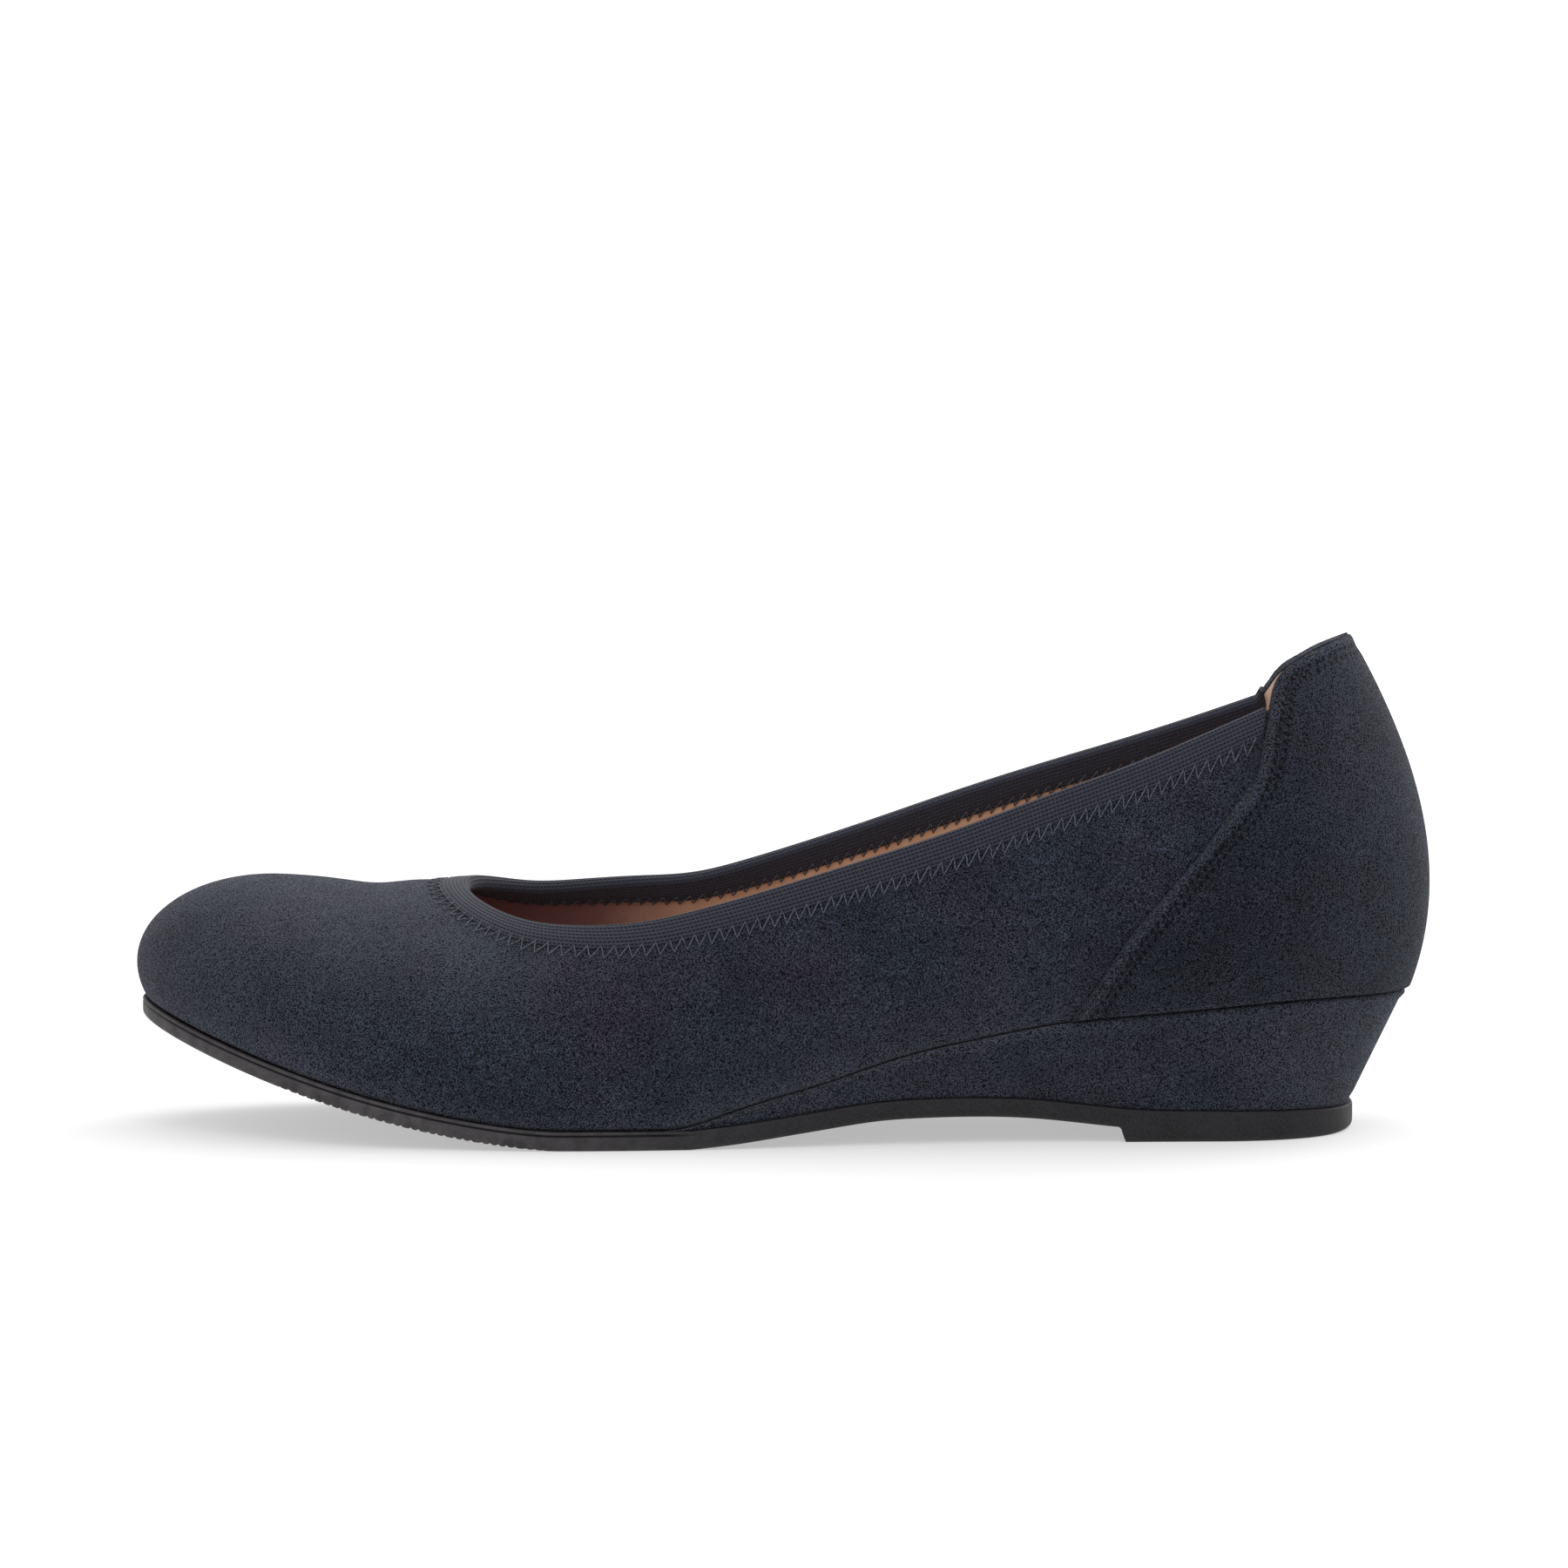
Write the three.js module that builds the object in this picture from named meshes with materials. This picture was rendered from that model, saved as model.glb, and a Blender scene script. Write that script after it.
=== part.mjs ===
// A women's ballerina on a low covered wedge, the left shoe, in millimetres with +Z up.
// The toe points along -X, the outer side of the foot faces -Y and the floor is at z = 0.
// The whole form hangs on one station line along the foot: 0 at the tip of the toe, 1 at the back.

import * as THREE from 'three';

// Sides of the left shoe, as the sign of Y
const outerSide = -1;
const innerSide = 1;

// Overall sizes
const shoeLength = 252;
const ballWidth = 84;
const vampHeight = 48;
const collarHeight = 84;
const tabHeight = 96.8;
const heelSeatHeight = 28;
const toeSpring = 21.3;
const archRise = 5.2;

// Sole sizes
const outsoleThickness = 3.7;
const outsoleEdgeRadius = 1.1;
const heelBreastRun = 0.9;
const insoleThickness = 3.6;
const insoleEdgeRound = 0.8;
const wedgeLedge = 0.8;

// Upper sizes
const upperWall = 1.6;
const throatHalfWidth = { [outerSide]: 31, [innerSide]: 28.5 };
const counterThickness = 1.4;
const bindingThickness = 0.7;
const bindingWidth = 6;
const bindingFold = 1;
const bindingCorner = 0.4;
const bindingEndSlant = 0.588;
const clearance = 0.3;
const counterClearance = 0.36;

// Places along the shoe, as shares of its length
const outsoleTip = 0.0025;
const outsoleBack = 0.9395;
const featherTip = 0.006;
const featherBack = 0.9765;
const toeRoundLength = 0.228;
const outsoleHeelRoundLength = 0.111;
const featherHeelRoundLength = 0.127;
const toePoleReach = 0.119;
const heelPoleReach = 0.115;
const ballStart = 0.329;
const ballEnd = 0.429;
const heelBreast = 0.757;
const wedgeFront = 0.43;
const throatFront = 0.2525;
const throatLength = 0.143;
const tabFront = 0.8702;
const tabPeak = 0.930;
const bindingEnd = 0.8675;
const collarBlendStart = 0.29;
const collarBlendEnd = 0.4;

// Rounding of the ends of the outline, as the exponent of a superellipse
const toeRoundness = 2;
const heelRoundness = 2.3;

// Exponent of the rise of the toe in front of the ball
const toeSpringPower = 1.57;

// Rounding of the corner where the top of the wedge leaves the outsole
const featherBlend = 0.5;

// Plan of the sole. centre is the middle line's distance from the axis, outsole and feather are half widths,
// all as shares of the ball width. The feather is the line where the upper meets the sole.
const planTable = {
  columns: ['station', 'centre', 'outsole', 'feather'],
  rows: [
    [0.00, 0.083, 0.488, 0.480],
    [0.08, 0.053, 0.488, 0.480],
    [0.16, 0.010, 0.488, 0.480],
    [0.24, -0.014, 0.495, 0.487],
    [0.32, -0.036, 0.494, 0.486],
    [0.40, -0.051, 0.466, 0.458],
    [0.48, -0.062, 0.417, 0.412],
    [0.56, -0.061, 0.370, 0.371],
    [0.64, -0.049, 0.341, 0.354],
    [0.72, -0.032, 0.331, 0.352],
    [0.80, -0.017, 0.333, 0.357],
    [0.88, -0.007, 0.334, 0.361],
    [1.00, 0.000, 0.334, 0.361],
  ],
};

// Underside of the outsole behind the ball, without the heel piece, as a share of the rise of the arch.
const archTable = {
  columns: ['station', 'rise'],
  rows: [
    [0.43, 0.00],
    [0.465, 0.17],
    [0.50, 0.41],
    [0.535, 0.66],
    [0.57, 0.89],
    [0.61, 0.99],
    [0.65, 1.00],
    [0.69, 0.91],
    [0.73, 0.70],
    [0.77, 0.50],
    [0.81, 0.44],
    [0.86, 0.40],
    [0.90, 0.36],
    [0.94, 0.24],
  ],
};

// Top of the wedge above the floor, as a share of the height of the heel seat.
const wedgeTable = {
  columns: ['station', 'top'],
  rows: [
    [0.40, 0.086],
    [0.433, 0.175],
    [0.476, 0.304],
    [0.528, 0.436],
    [0.565, 0.546],
    [0.603, 0.648],
    [0.643, 0.725],
    [0.683, 0.795],
    [0.718, 0.846],
    [0.80, 0.914],
    [0.85, 0.957],
    [0.893, 0.990],
    [0.937, 1.000],
    [0.98, 0.993],
  ],
};

// Middle line of the arch over the foot, which the upper follows until its topline cuts it off.
// height is a share of the vamp height, and tilt is the slope across the foot, up towards the inner side.
const crownTable = {
  columns: ['station', 'height', 'tilt'],
  rows: [
    [0.119, 1.006, 0.05],
    [0.15, 0.989, 0.08],
    [0.18, 0.973, 0.10],
    [0.215, 0.980, 0.12],
    [0.25, 0.984, 0.12],
    [0.29, 1.020, 0.11],
    [0.34, 1.120, 0.09],
    [0.40, 1.270, 0.06],
    [0.50, 1.600, 0.03],
    [0.62, 2.000, 0.00],
    [0.75, 2.320, 0.00],
    [0.87, 2.540, 0.00],
  ],
};

// Shape of each half section from the feather up to the crown, by the station of its feather point.
// rise and flare place the first handle, as shares of the section's height, and flare leans it outwards.
// reach places the second handle, as a share of the section's width, and fall is the section's slope there.
const sectionTable = {
  columns: ['station', 'rise', 'outerFlare', 'innerFlare', 'reach', 'fall'],
  rows: [
    [0.00, 0.56, 0.33, 0.33, 0.74, 0.00],
    [0.06, 0.56, 0.30, 0.28, 0.72, 0.00],
    [0.16, 0.56, 0.18, 0.14, 0.67, 0.00],
    [0.28, 0.52, 0.14, 0.10, 0.62, 0.00],
    [0.40, 0.50, 0.12, 0.12, 0.58, 0.02],
    [0.55, 0.42, 0.12, 0.15, 0.58, 0.10],
    [0.70, 0.33, 0.110, 0.120, 0.68, 0.40],
    [0.85, 0.28, 0.098, 0.098, 0.80, 1.45],
    [1.00, 0.30, 0.120, 0.120, 0.94, 1.70],
  ],
};

// Edge of the upper above the floor, as shares of the collar height, under the fold of the binding.
const collarTable = {
  columns: ['station', 'outer', 'inner'],
  rows: [
    [0.28, 0.515, 0.565],
    [0.32, 0.507, 0.558],
    [0.365, 0.500, 0.548],
    [0.397, 0.507, 0.547],
    [0.433, 0.531, 0.555],
    [0.465, 0.557, 0.578],
    [0.50, 0.588, 0.610],
    [0.567, 0.650, 0.676],
    [0.635, 0.717, 0.746],
    [0.70, 0.788, 0.808],
    [0.77, 0.863, 0.872],
    [0.833, 0.940, 0.935],
    [0.8702, 0.987, 0.975],
  ],
};

// Outline of the pull tab in side view, from its front corner to its peak, as shares of the tab height.
const tabTable = {
  columns: ['station', 'outer', 'inner'],
  rows: [
    [0.8702, 0.856, 0.846],
    [0.8725, 0.888, 0.858],
    [0.8765, 0.914, 0.875],
    [0.8840, 0.934, 0.903],
    [0.8960, 0.952, 0.928],
    [0.9100, 0.971, 0.953],
    [0.9230, 0.983, 0.973],
    [0.9300, 0.986, 0.986],
  ],
};

// Front edge of the heel counter in side view, from the feather up to the corner of the tab.
const counterTable = {
  columns: ['share', 'station', 'height'],
  rows: [
    [0.00, 0.718, 0.245],
    [0.14, 0.739, 0.322],
    [0.28, 0.759, 0.402],
    [0.42, 0.782, 0.473],
    [0.56, 0.805, 0.543],
    [0.70, 0.832, 0.622],
    [0.82, 0.852, 0.682],
    [0.90, 0.8605, 0.728],
    [1.00, 0.8702, 0.856],
  ],
};

// Faces along and across each piece. Those round the heel grow in number with the shoe, so that the
// counter keeps its gap to the upper.
const counterFacet = 19.4;
const tabFacet = 22.9;
const counterColumns = Math.round(shoeLength / counterFacet);
const tabColumns = Math.round(shoeLength / tabFacet);
const vampColumns = 20;
const collarColumns = 30;
const collarSpread = 1.5;
const tabSpread = 0.5;
const upperRows = 11;
const counterRows = 12;
const tabRows = 6;
const soleColumns = 44;
const wedgeColumns = 34;
const wedgeRows = 3;
const insoleColumns = 40;

// Smooth curve through one column of a table, as a natural cubic spline over its first column.
function curve(table, column) {
  const x = table.rows.map((row) => row[0]);
  const y = table.rows.map((row) => row[table.columns.indexOf(column)]);
  const count = x.length;
  const bend = new Array(count).fill(0);
  const carry = new Array(count).fill(0);
  for (let i = 1; i < count - 1; i += 1) {
    const share = (x[i] - x[i - 1]) / (x[i + 1] - x[i - 1]);
    const pivot = share * bend[i - 1] + 2;
    const slopeChange = (y[i + 1] - y[i]) / (x[i + 1] - x[i]) - (y[i] - y[i - 1]) / (x[i] - x[i - 1]);
    bend[i] = (share - 1) / pivot;
    carry[i] = ((6 * slopeChange) / (x[i + 1] - x[i - 1]) - share * carry[i - 1]) / pivot;
  }
  for (let i = count - 2; i >= 0; i -= 1) {
    bend[i] = bend[i] * bend[i + 1] + carry[i];
  }
  return (at) => {
    const t = Math.min(Math.max(at, x[0]), x[count - 1]);
    let i = 0;
    while (i < count - 2 && t > x[i + 1]) {
      i += 1;
    }
    const step = x[i + 1] - x[i];
    const a = (x[i + 1] - t) / step;
    const b = (t - x[i]) / step;
    const sag = ((a ** 3 - a) * bend[i] + (b ** 3 - b) * bend[i + 1]) * (step ** 2 / 6);
    return a * y[i] + b * y[i + 1] + sag;
  };
}

const centreShare = curve(planTable, 'centre');
const outsoleShare = curve(planTable, 'outsole');
const featherShare = curve(planTable, 'feather');
const archShare = curve(archTable, 'rise');
const wedgeShare = curve(wedgeTable, 'top');
const crownShare = curve(crownTable, 'height');
const crownTilt = curve(crownTable, 'tilt');
const sectionRise = curve(sectionTable, 'rise');
const sectionFlare = {
  [outerSide]: curve(sectionTable, 'outerFlare'),
  [innerSide]: curve(sectionTable, 'innerFlare'),
};
const sectionReach = curve(sectionTable, 'reach');
const sectionFall = curve(sectionTable, 'fall');
const collarShare = {
  [outerSide]: curve(collarTable, 'outer'),
  [innerSide]: curve(collarTable, 'inner'),
};
const tabShare = {
  [outerSide]: curve(tabTable, 'outer'),
  [innerSide]: curve(tabTable, 'inner'),
};
const counterStation = curve(counterTable, 'station');
const counterHeight = curve(counterTable, 'height');

function mix(a, b, share) {
  return a + (b - a) * share;
}

function smoothStep(low, high, value) {
  const t = Math.min(Math.max((value - low) / (high - low), 0), 1);
  return t * t * (3 - 2 * t);
}

function smoothMax(a, b, blend) {
  return (a + b + Math.hypot(a - b, blend)) / 2;
}

// Value between low and high at which a rising function passes zero.
function solve(rising, low, high) {
  const halvings = 40;
  let from = low;
  let to = high;
  for (let i = 0; i < halvings; i += 1) {
    const middle = (from + to) / 2;
    if (rising(middle) < 0) {
      from = middle;
    } else {
      to = middle;
    }
  }
  return (from + to) / 2;
}

// Heights along the shoe. Each takes a station share and gives millimetres above the floor.
function thinUnderside(station) {
  const toeShare = Math.max(1 - station / ballStart, 0);
  const arch = station > ballEnd ? archRise * Math.max(archShare(station), 0) : 0;
  return toeSpring * toeShare ** toeSpringPower + arch;
}

function outsoleUnderside(station) {
  const step = Math.min(Math.max(((station - heelBreast) * shoeLength) / heelBreastRun, 0), 1);
  return mix(thinUnderside(station), 0, step);
}

function outsoleTop(station) {
  return thinUnderside(station) + outsoleThickness;
}

function featherHeight(station) {
  const onOutsole = outsoleTop(station) + clearance;
  const onWedge = station < wedgeTable.rows[0][0] ? 0 : heelSeatHeight * wedgeShare(station);
  return smoothMax(onOutsole, onWedge, featherBlend);
}

// Share of the full half width at a distance from a rounded end of the outline.
function roundEnd(distance, length, roundness) {
  const t = Math.min(Math.max(distance / length, 0), 1);
  return (1 - (1 - t) ** roundness) ** (1 / roundness);
}

// One outline of the sole: way runs from 0 at the toe to 1 at the heel, and side picks the half.
const outlines = {
  outsole: { tip: outsoleTip, back: outsoleBack, half: outsoleShare, heelRound: outsoleHeelRoundLength },
  feather: { tip: featherTip, back: featherBack, half: featherShare, heelRound: featherHeelRoundLength },
};

function stationOfWay(outline, way) {
  return mix(outline.tip, outline.back, (1 - Math.cos(Math.PI * way)) / 2);
}

function wayOfStation(outline, station) {
  const share = (station - outline.tip) / (outline.back - outline.tip);
  return Math.acos(1 - 2 * Math.min(Math.max(share, 0), 1)) / Math.PI;
}

// A way beyond the toe or the heel comes back on the other side.
function turnBack(side, way) {
  if (way < 0) {
    return [-side, -way];
  }
  if (way > 1) {
    return [-side, 2 - way];
  }
  return [side, way];
}

function outlinePoint(outline, anySide, anyWay) {
  const [side, way] = turnBack(anySide, anyWay);
  const station = stationOfWay(outline, way);
  const toe = roundEnd(station - outline.tip, toeRoundLength, toeRoundness);
  const heel = roundEnd(outline.back - station, outline.heelRound, heelRoundness);
  const half = ballWidth * outline.half(station) * toe * heel;
  return new THREE.Vector2(shoeLength * station, ballWidth * centreShare(station) + side * half);
}

// Outline point moved inwards, square to the outline.
function insetPoint(outline, side, way, inset) {
  const step = 0.002;
  const ahead = outlinePoint(outline, side, way + step);
  const along = ahead.sub(outlinePoint(outline, side, way - step)).normalize();
  const inward = new THREE.Vector2(-along.y, along.x).multiplyScalar(-side * inset);
  return outlinePoint(outline, side, way).add(inward);
}

// The lasted form of the upper.
// way runs along the feather, and girth runs up a half section from 0 at the feather to 1 at the crown.
function crownStation(station) {
  const fromTip = station - featherTip;
  const fromBack = featherBack - station;
  const toeShift = Math.cbrt(fromTip ** 3 + toePoleReach ** 3) - fromTip;
  const heelShift = Math.cbrt(fromBack ** 3 + heelPoleReach ** 3) - fromBack;
  return station + toeShift - heelShift;
}

function crownPoint(station) {
  return new THREE.Vector3(
    shoeLength * station,
    ballWidth * centreShare(station),
    vampHeight * crownShare(station),
  );
}

function lastPoint(anySide, anyWay, anyGirth) {
  if (anyGirth > 1) {
    return lastPoint(-anySide, anyWay, 2 - anyGirth);
  }
  const [side, way] = turnBack(anySide, anyWay);
  const girth = Math.max(anyGirth, 0);
  const feather = outlinePoint(outlines.feather, side, way);
  const station = feather.x / shoeLength;
  const crown = crownStation(station);
  const start = new THREE.Vector3(feather.x, feather.y, featherHeight(station));
  const end = crownPoint(crown);
  const height = end.z - start.z;
  const inward = new THREE.Vector2(end.x - start.x, end.y - start.y);
  const width = inward.length();
  inward.normalize();
  const step = 0.004;
  const slope = (crownPoint(crown + step).z - crownPoint(crown - step).z) / (2 * step * shoeLength);
  const climb = inward.x * slope + inward.y * crownTilt(crown) + sectionFall(station);
  const flare = sectionFlare[side](station) * height;
  const reach = sectionReach(station) * width;
  const first = new THREE.Vector3(
    start.x - inward.x * flare,
    start.y - inward.y * flare,
    start.z + sectionRise(station) * height,
  );
  const second = new THREE.Vector3(
    end.x - inward.x * reach,
    end.y - inward.y * reach,
    end.z - climb * reach,
  );
  return new THREE.CubicBezierCurve3(start, first, second, end).getPoint(girth);
}

function crownNormal(station) {
  const step = 0.004;
  const along = crownPoint(station + step).sub(crownPoint(station - step));
  return along.cross(new THREE.Vector3(0, 1, crownTilt(station))).normalize();
}

function lastNormal(side, way, girth) {
  const step = 0.001;
  if (Math.abs(girth - 1) < step) {
    return crownNormal(crownStation(stationOfWay(outlines.feather, way)));
  }
  const along = lastPoint(side, way + step, girth).sub(lastPoint(side, way - step, girth));
  const up = lastPoint(side, way, girth + step).sub(lastPoint(side, way, girth - step));
  return along.cross(up).multiplyScalar(-side).normalize();
}

function offsetPoint(side, way, girth, offset) {
  return lastPoint(side, way, girth).addScaledVector(lastNormal(side, way, girth), offset);
}

// Place on the lasted form that shows at a station and height in side view.
function placeInSideView(side, station, height) {
  const girthAt = (way) => solve((girth) => lastPoint(side, way, girth).z - height, 0, 1);
  const way = solve((at) => lastPoint(side, at, girthAt(at)).x - station * shoeLength, 0, 1);
  return { way, girth: girthAt(way) };
}

// Edge of the upper: the throat is an ellipse in plan, then the collar follows its heights, then the tab.
const throatWay = solve(
  (way) => crownStation(stationOfWay(outlines.feather, way)) - throatFront,
  0,
  0.5,
);

function wayOnCollar(side, station) {
  return placeInSideView(side, station, collarTop(side, station)).way;
}

function throatGap(side, way, girth) {
  const point = lastPoint(side, way, girth);
  const station = point.x / shoeLength;
  const opening = throatHalfWidth[side] * roundEnd(station - throatFront, throatLength, toeRoundness);
  return opening - Math.abs(point.y - ballWidth * centreShare(station));
}

function collarTop(side, station) {
  if (station >= tabFront) {
    return tabHeight * tabShare[side](station);
  }
  return collarHeight * collarShare[side](station);
}

function edgeGirth(side, way) {
  if (way <= throatWay) {
    return 1;
  }
  const station = stationOfWay(outlines.feather, way);
  const inPlan = solve((girth) => throatGap(side, way, girth), 0, 1);
  const inHeight = solve((girth) => {
    const point = lastPoint(side, way, girth);
    return point.z - collarTop(side, point.x / shoeLength);
  }, 0, 1);
  return mix(inPlan, inHeight, smoothStep(collarBlendStart, collarBlendEnd, station));
}

// A closed solid made of points and faces.
class Solid {
  constructor() {
    this.points = [];
    this.faces = [];
  }

  add(point) {
    this.points.push(point);
    return this.points.length - 1;
  }

  triangle(a, b, c) {
    if (a !== b && b !== c && c !== a) {
      this.faces.push([a, b, c]);
    }
  }

  quad(a, b, c, d) {
    this.triangle(a, b, c);
    this.triangle(a, c, d);
  }

  mesh(name, finish) {
    const geometry = new THREE.BufferGeometry();
    const numbers = this.points.flatMap((point) => point.toArray());
    geometry.setAttribute('position', new THREE.Float32BufferAttribute(numbers, 3));
    geometry.setIndex(this.faces.flat());
    geometry.computeVertexNormals();
    const mesh = new THREE.Mesh(geometry, new THREE.MeshStandardMaterial(finish));
    mesh.name = name;
    return mesh;
  }
}

function evenSteps(count, from, to) {
  return Array.from({ length: count + 1 }, (_, i) => mix(from, to, i / count));
}

// Ladder solid: a rim of levels from bottom to top for each way, closed by rungs across the sole.
// pointAt(side, way, level) gives the rim, and ways run from the toe end to the heel end.
function ladderSolid(ways, levels, pointAt) {
  const solid = new Solid();
  const rims = {};
  for (const side of [outerSide, innerSide]) {
    rims[side] = ways.map((way) => levels.map((level) => {
      const shared = side === innerSide && (way === 0 || way === 1);
      return shared ? null : solid.add(pointAt(side, way, level));
    }));
  }
  rims[innerSide].forEach((rim, i) => rim.forEach((index, j) => {
    rims[innerSide][i][j] = index ?? rims[outerSide][i][j];
  }));
  const top = levels.length - 1;
  for (let i = 0; i < ways.length - 1; i += 1) {
    const [outer, outerNext] = [rims[outerSide][i], rims[outerSide][i + 1]];
    const [inner, innerNext] = [rims[innerSide][i], rims[innerSide][i + 1]];
    for (let j = 0; j < top; j += 1) {
      solid.quad(outer[j], outerNext[j], outerNext[j + 1], outer[j + 1]);
      solid.quad(innerNext[j], inner[j], inner[j + 1], innerNext[j + 1]);
    }
    solid.quad(outer[top], outerNext[top], innerNext[top], inner[top]);
    solid.quad(inner[0], innerNext[0], outerNext[0], outer[0]);
  }
  const [outer, inner] = [rims[outerSide][0], rims[innerSide][0]];
  for (let j = 0; j < top; j += 1) {
    solid.quad(inner[j], outer[j], outer[j + 1], inner[j + 1]);
  }
  return solid;
}

// Even ways from end to end with extra ones at given stations, without even ones a quarter step from those.
function sortedWays(outline, count, extraStations) {
  const extra = extraStations.map((station) => wayOfStation(outline, station));
  const near = 1 / (4 * count);
  const clear = (way) => extra.every((other) => Math.abs(way - other) > near);
  const even = evenSteps(count, 0, 1).filter(clear);
  return [...even, ...extra].sort((a, b) => a - b);
}

// Finishes, with colours read off the photo
const navySuede = { color: 0x252b38, roughness: 0.95, metalness: 0 };
const blackRubber = { color: 0x2e2c2f, roughness: 0.7, metalness: 0 };
const blackElastic = { color: 0x26262a, roughness: 0.85, metalness: 0 };
const tanLeather = { color: 0xb98a60, roughness: 0.6, metalness: 0 };

// Outsole: a rubber sheet with toe spring and arch, thicker at the heel, with rounded edges.
function makeOutsole() {
  const outline = outlines.outsole;
  const breastEnd = heelBreast + heelBreastRun / shoeLength;
  const ways = sortedWays(outline, soleColumns, [ballStart, ballEnd, heelBreast, breastEnd]);
  const halfRound = outsoleEdgeRadius * (1 - Math.SQRT1_2);
  const topRound = outsoleEdgeRadius / 2;
  const levels = [
    { inset: outsoleEdgeRadius, fromTop: false, lift: 0 },
    { inset: halfRound, fromTop: false, lift: halfRound },
    { inset: 0, fromTop: false, lift: outsoleEdgeRadius },
    { inset: 0, fromTop: true, lift: topRound },
    { inset: topRound, fromTop: true, lift: 0 },
  ];
  return ladderSolid(ways, levels, (side, way, level) => {
    const point = insetPoint(outline, side, way, level.inset);
    const rim = outlinePoint(outline, side, way).x / shoeLength;
    const height = level.fromTop ? outsoleTop(rim) - level.lift : outsoleUnderside(rim) + level.lift;
    return new THREE.Vector3(point.x, point.y, height);
  }).mesh('outsole', blackRubber);
}

// Wedge: from the outsole up to the feather, with straight sides that lean in below.
function makeWedge() {
  const outline = outlines.feather;
  const front = wayOfStation(outline, wedgeFront);
  const levels = evenSteps(wedgeRows, 0, 1);
  const foot = (side, way) => {
    const station = stationOfWay(outline, way);
    const below = mix(wedgeFront, outsoleBack, (station - wedgeFront) / (featherBack - wedgeFront));
    const point = insetPoint(outlines.outsole, side, wayOfStation(outlines.outsole, below), wedgeLedge);
    return new THREE.Vector3(point.x, point.y, outsoleTop(point.x / shoeLength) + clearance);
  };
  const head = (side, way) => {
    const swell = smoothStep(wedgeFront, heelBreast, stationOfWay(outline, way));
    const point = insetPoint(outline, side, way, -wedgeLedge * swell);
    return new THREE.Vector3(point.x, point.y, featherHeight(point.x / shoeLength) - clearance);
  };
  const ways = evenSteps(wedgeColumns, front, 1);
  return ladderSolid(ways, levels, (side, way, level) => foot(side, way).lerp(head(side, way), level))
    .mesh('wedge', navySuede);
}

// Insole: fills the bottom of the upper from wall to wall, with a softened top edge.
function makeInsole() {
  const levels = [
    { inset: 0, height: 0 },
    { inset: 0, height: insoleThickness - insoleEdgeRound },
    { inset: insoleEdgeRound, height: insoleThickness },
  ];
  const ways = evenSteps(insoleColumns, 0, 1);
  return ladderSolid(ways, levels, (side, way, level) => {
    const point = insetPoint(outlines.feather, side, way, upperWall + clearance + level.inset);
    const seat = featherHeight(point.x / shoeLength);
    return new THREE.Vector3(point.x, point.y, seat + level.height);
  }).mesh('insole', tanLeather);
}

// Upper: one wall round the whole foot, closed over the vamp and open at the throat, the collar and below.
function makeUpper() {
  const sideColumns = (side) => {
    const tabWay = wayOnCollar(side, tabFront);
    const upright = (way) => ({ side, foot: way, head: way });
    const leaning = (turn) => {
      const share = turn ** collarSpread;
      const footShare = (share + turn) / 2;
      return { side, foot: mix(throatWay, tabWay, footShare), head: mix(throatWay, tabWay, share) };
    };
    return [
      ...evenSteps(vampColumns, 0, throatWay).map(upright),
      ...evenSteps(collarColumns, 0, 1).slice(1).map(leaning),
      ...evenSteps(tabColumns, 0, 1).slice(1)
        .map((share) => upright(mix(tabWay, 1, share * mix(tabSpread, 1, share)))),
    ];
  };
  const columns = [...sideColumns(outerSide), ...sideColumns(innerSide).slice(1, -1).reverse()];
  columns.forEach((column) => {
    column.top = edgeGirth(column.side, column.head);
    column.closed = column.head <= throatWay;
  });
  const solid = new Solid();
  const pointAt = (column, row, offset) => {
    const share = row / upperRows;
    if (row === 0 && offset !== 0) {
      const inner = insetPoint(outlines.feather, column.side, column.foot, -offset);
      return new THREE.Vector3(inner.x, inner.y, featherHeight(inner.x / shoeLength));
    }
    return offsetPoint(column.side, mix(column.foot, column.head, share), column.top * share, offset);
  };
  const grid = (offset) => {
    const indices = [];
    columns.forEach((column, k) => {
      const mirror = columns.length - k;
      indices.push(evenSteps(upperRows, 0, upperRows).map((row) => {
        if (row === upperRows && column.closed && mirror < k) {
          return indices[mirror][row];
        }
        return solid.add(pointAt(column, row, offset));
      }));
    });
    return indices;
  };
  const outside = grid(0);
  const inside = grid(-upperWall);
  columns.forEach((column, k) => {
    const next = (k + 1) % columns.length;
    for (let row = 0; row < upperRows; row += 1) {
      solid.quad(outside[k][row], outside[next][row], outside[next][row + 1], outside[k][row + 1]);
      solid.quad(inside[k][row + 1], inside[next][row + 1], inside[next][row], inside[k][row]);
    }
    solid.quad(outside[next][0], outside[k][0], inside[k][0], inside[next][0]);
    if (!(column.closed && columns[next].closed)) {
      const [outer, inner] = [outside[k][upperRows], inside[k][upperRows]];
      solid.quad(outer, outside[next][upperRows], inside[next][upperRows], inner);
    }
  });
  return solid.mesh('upper', navySuede);
}

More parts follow.
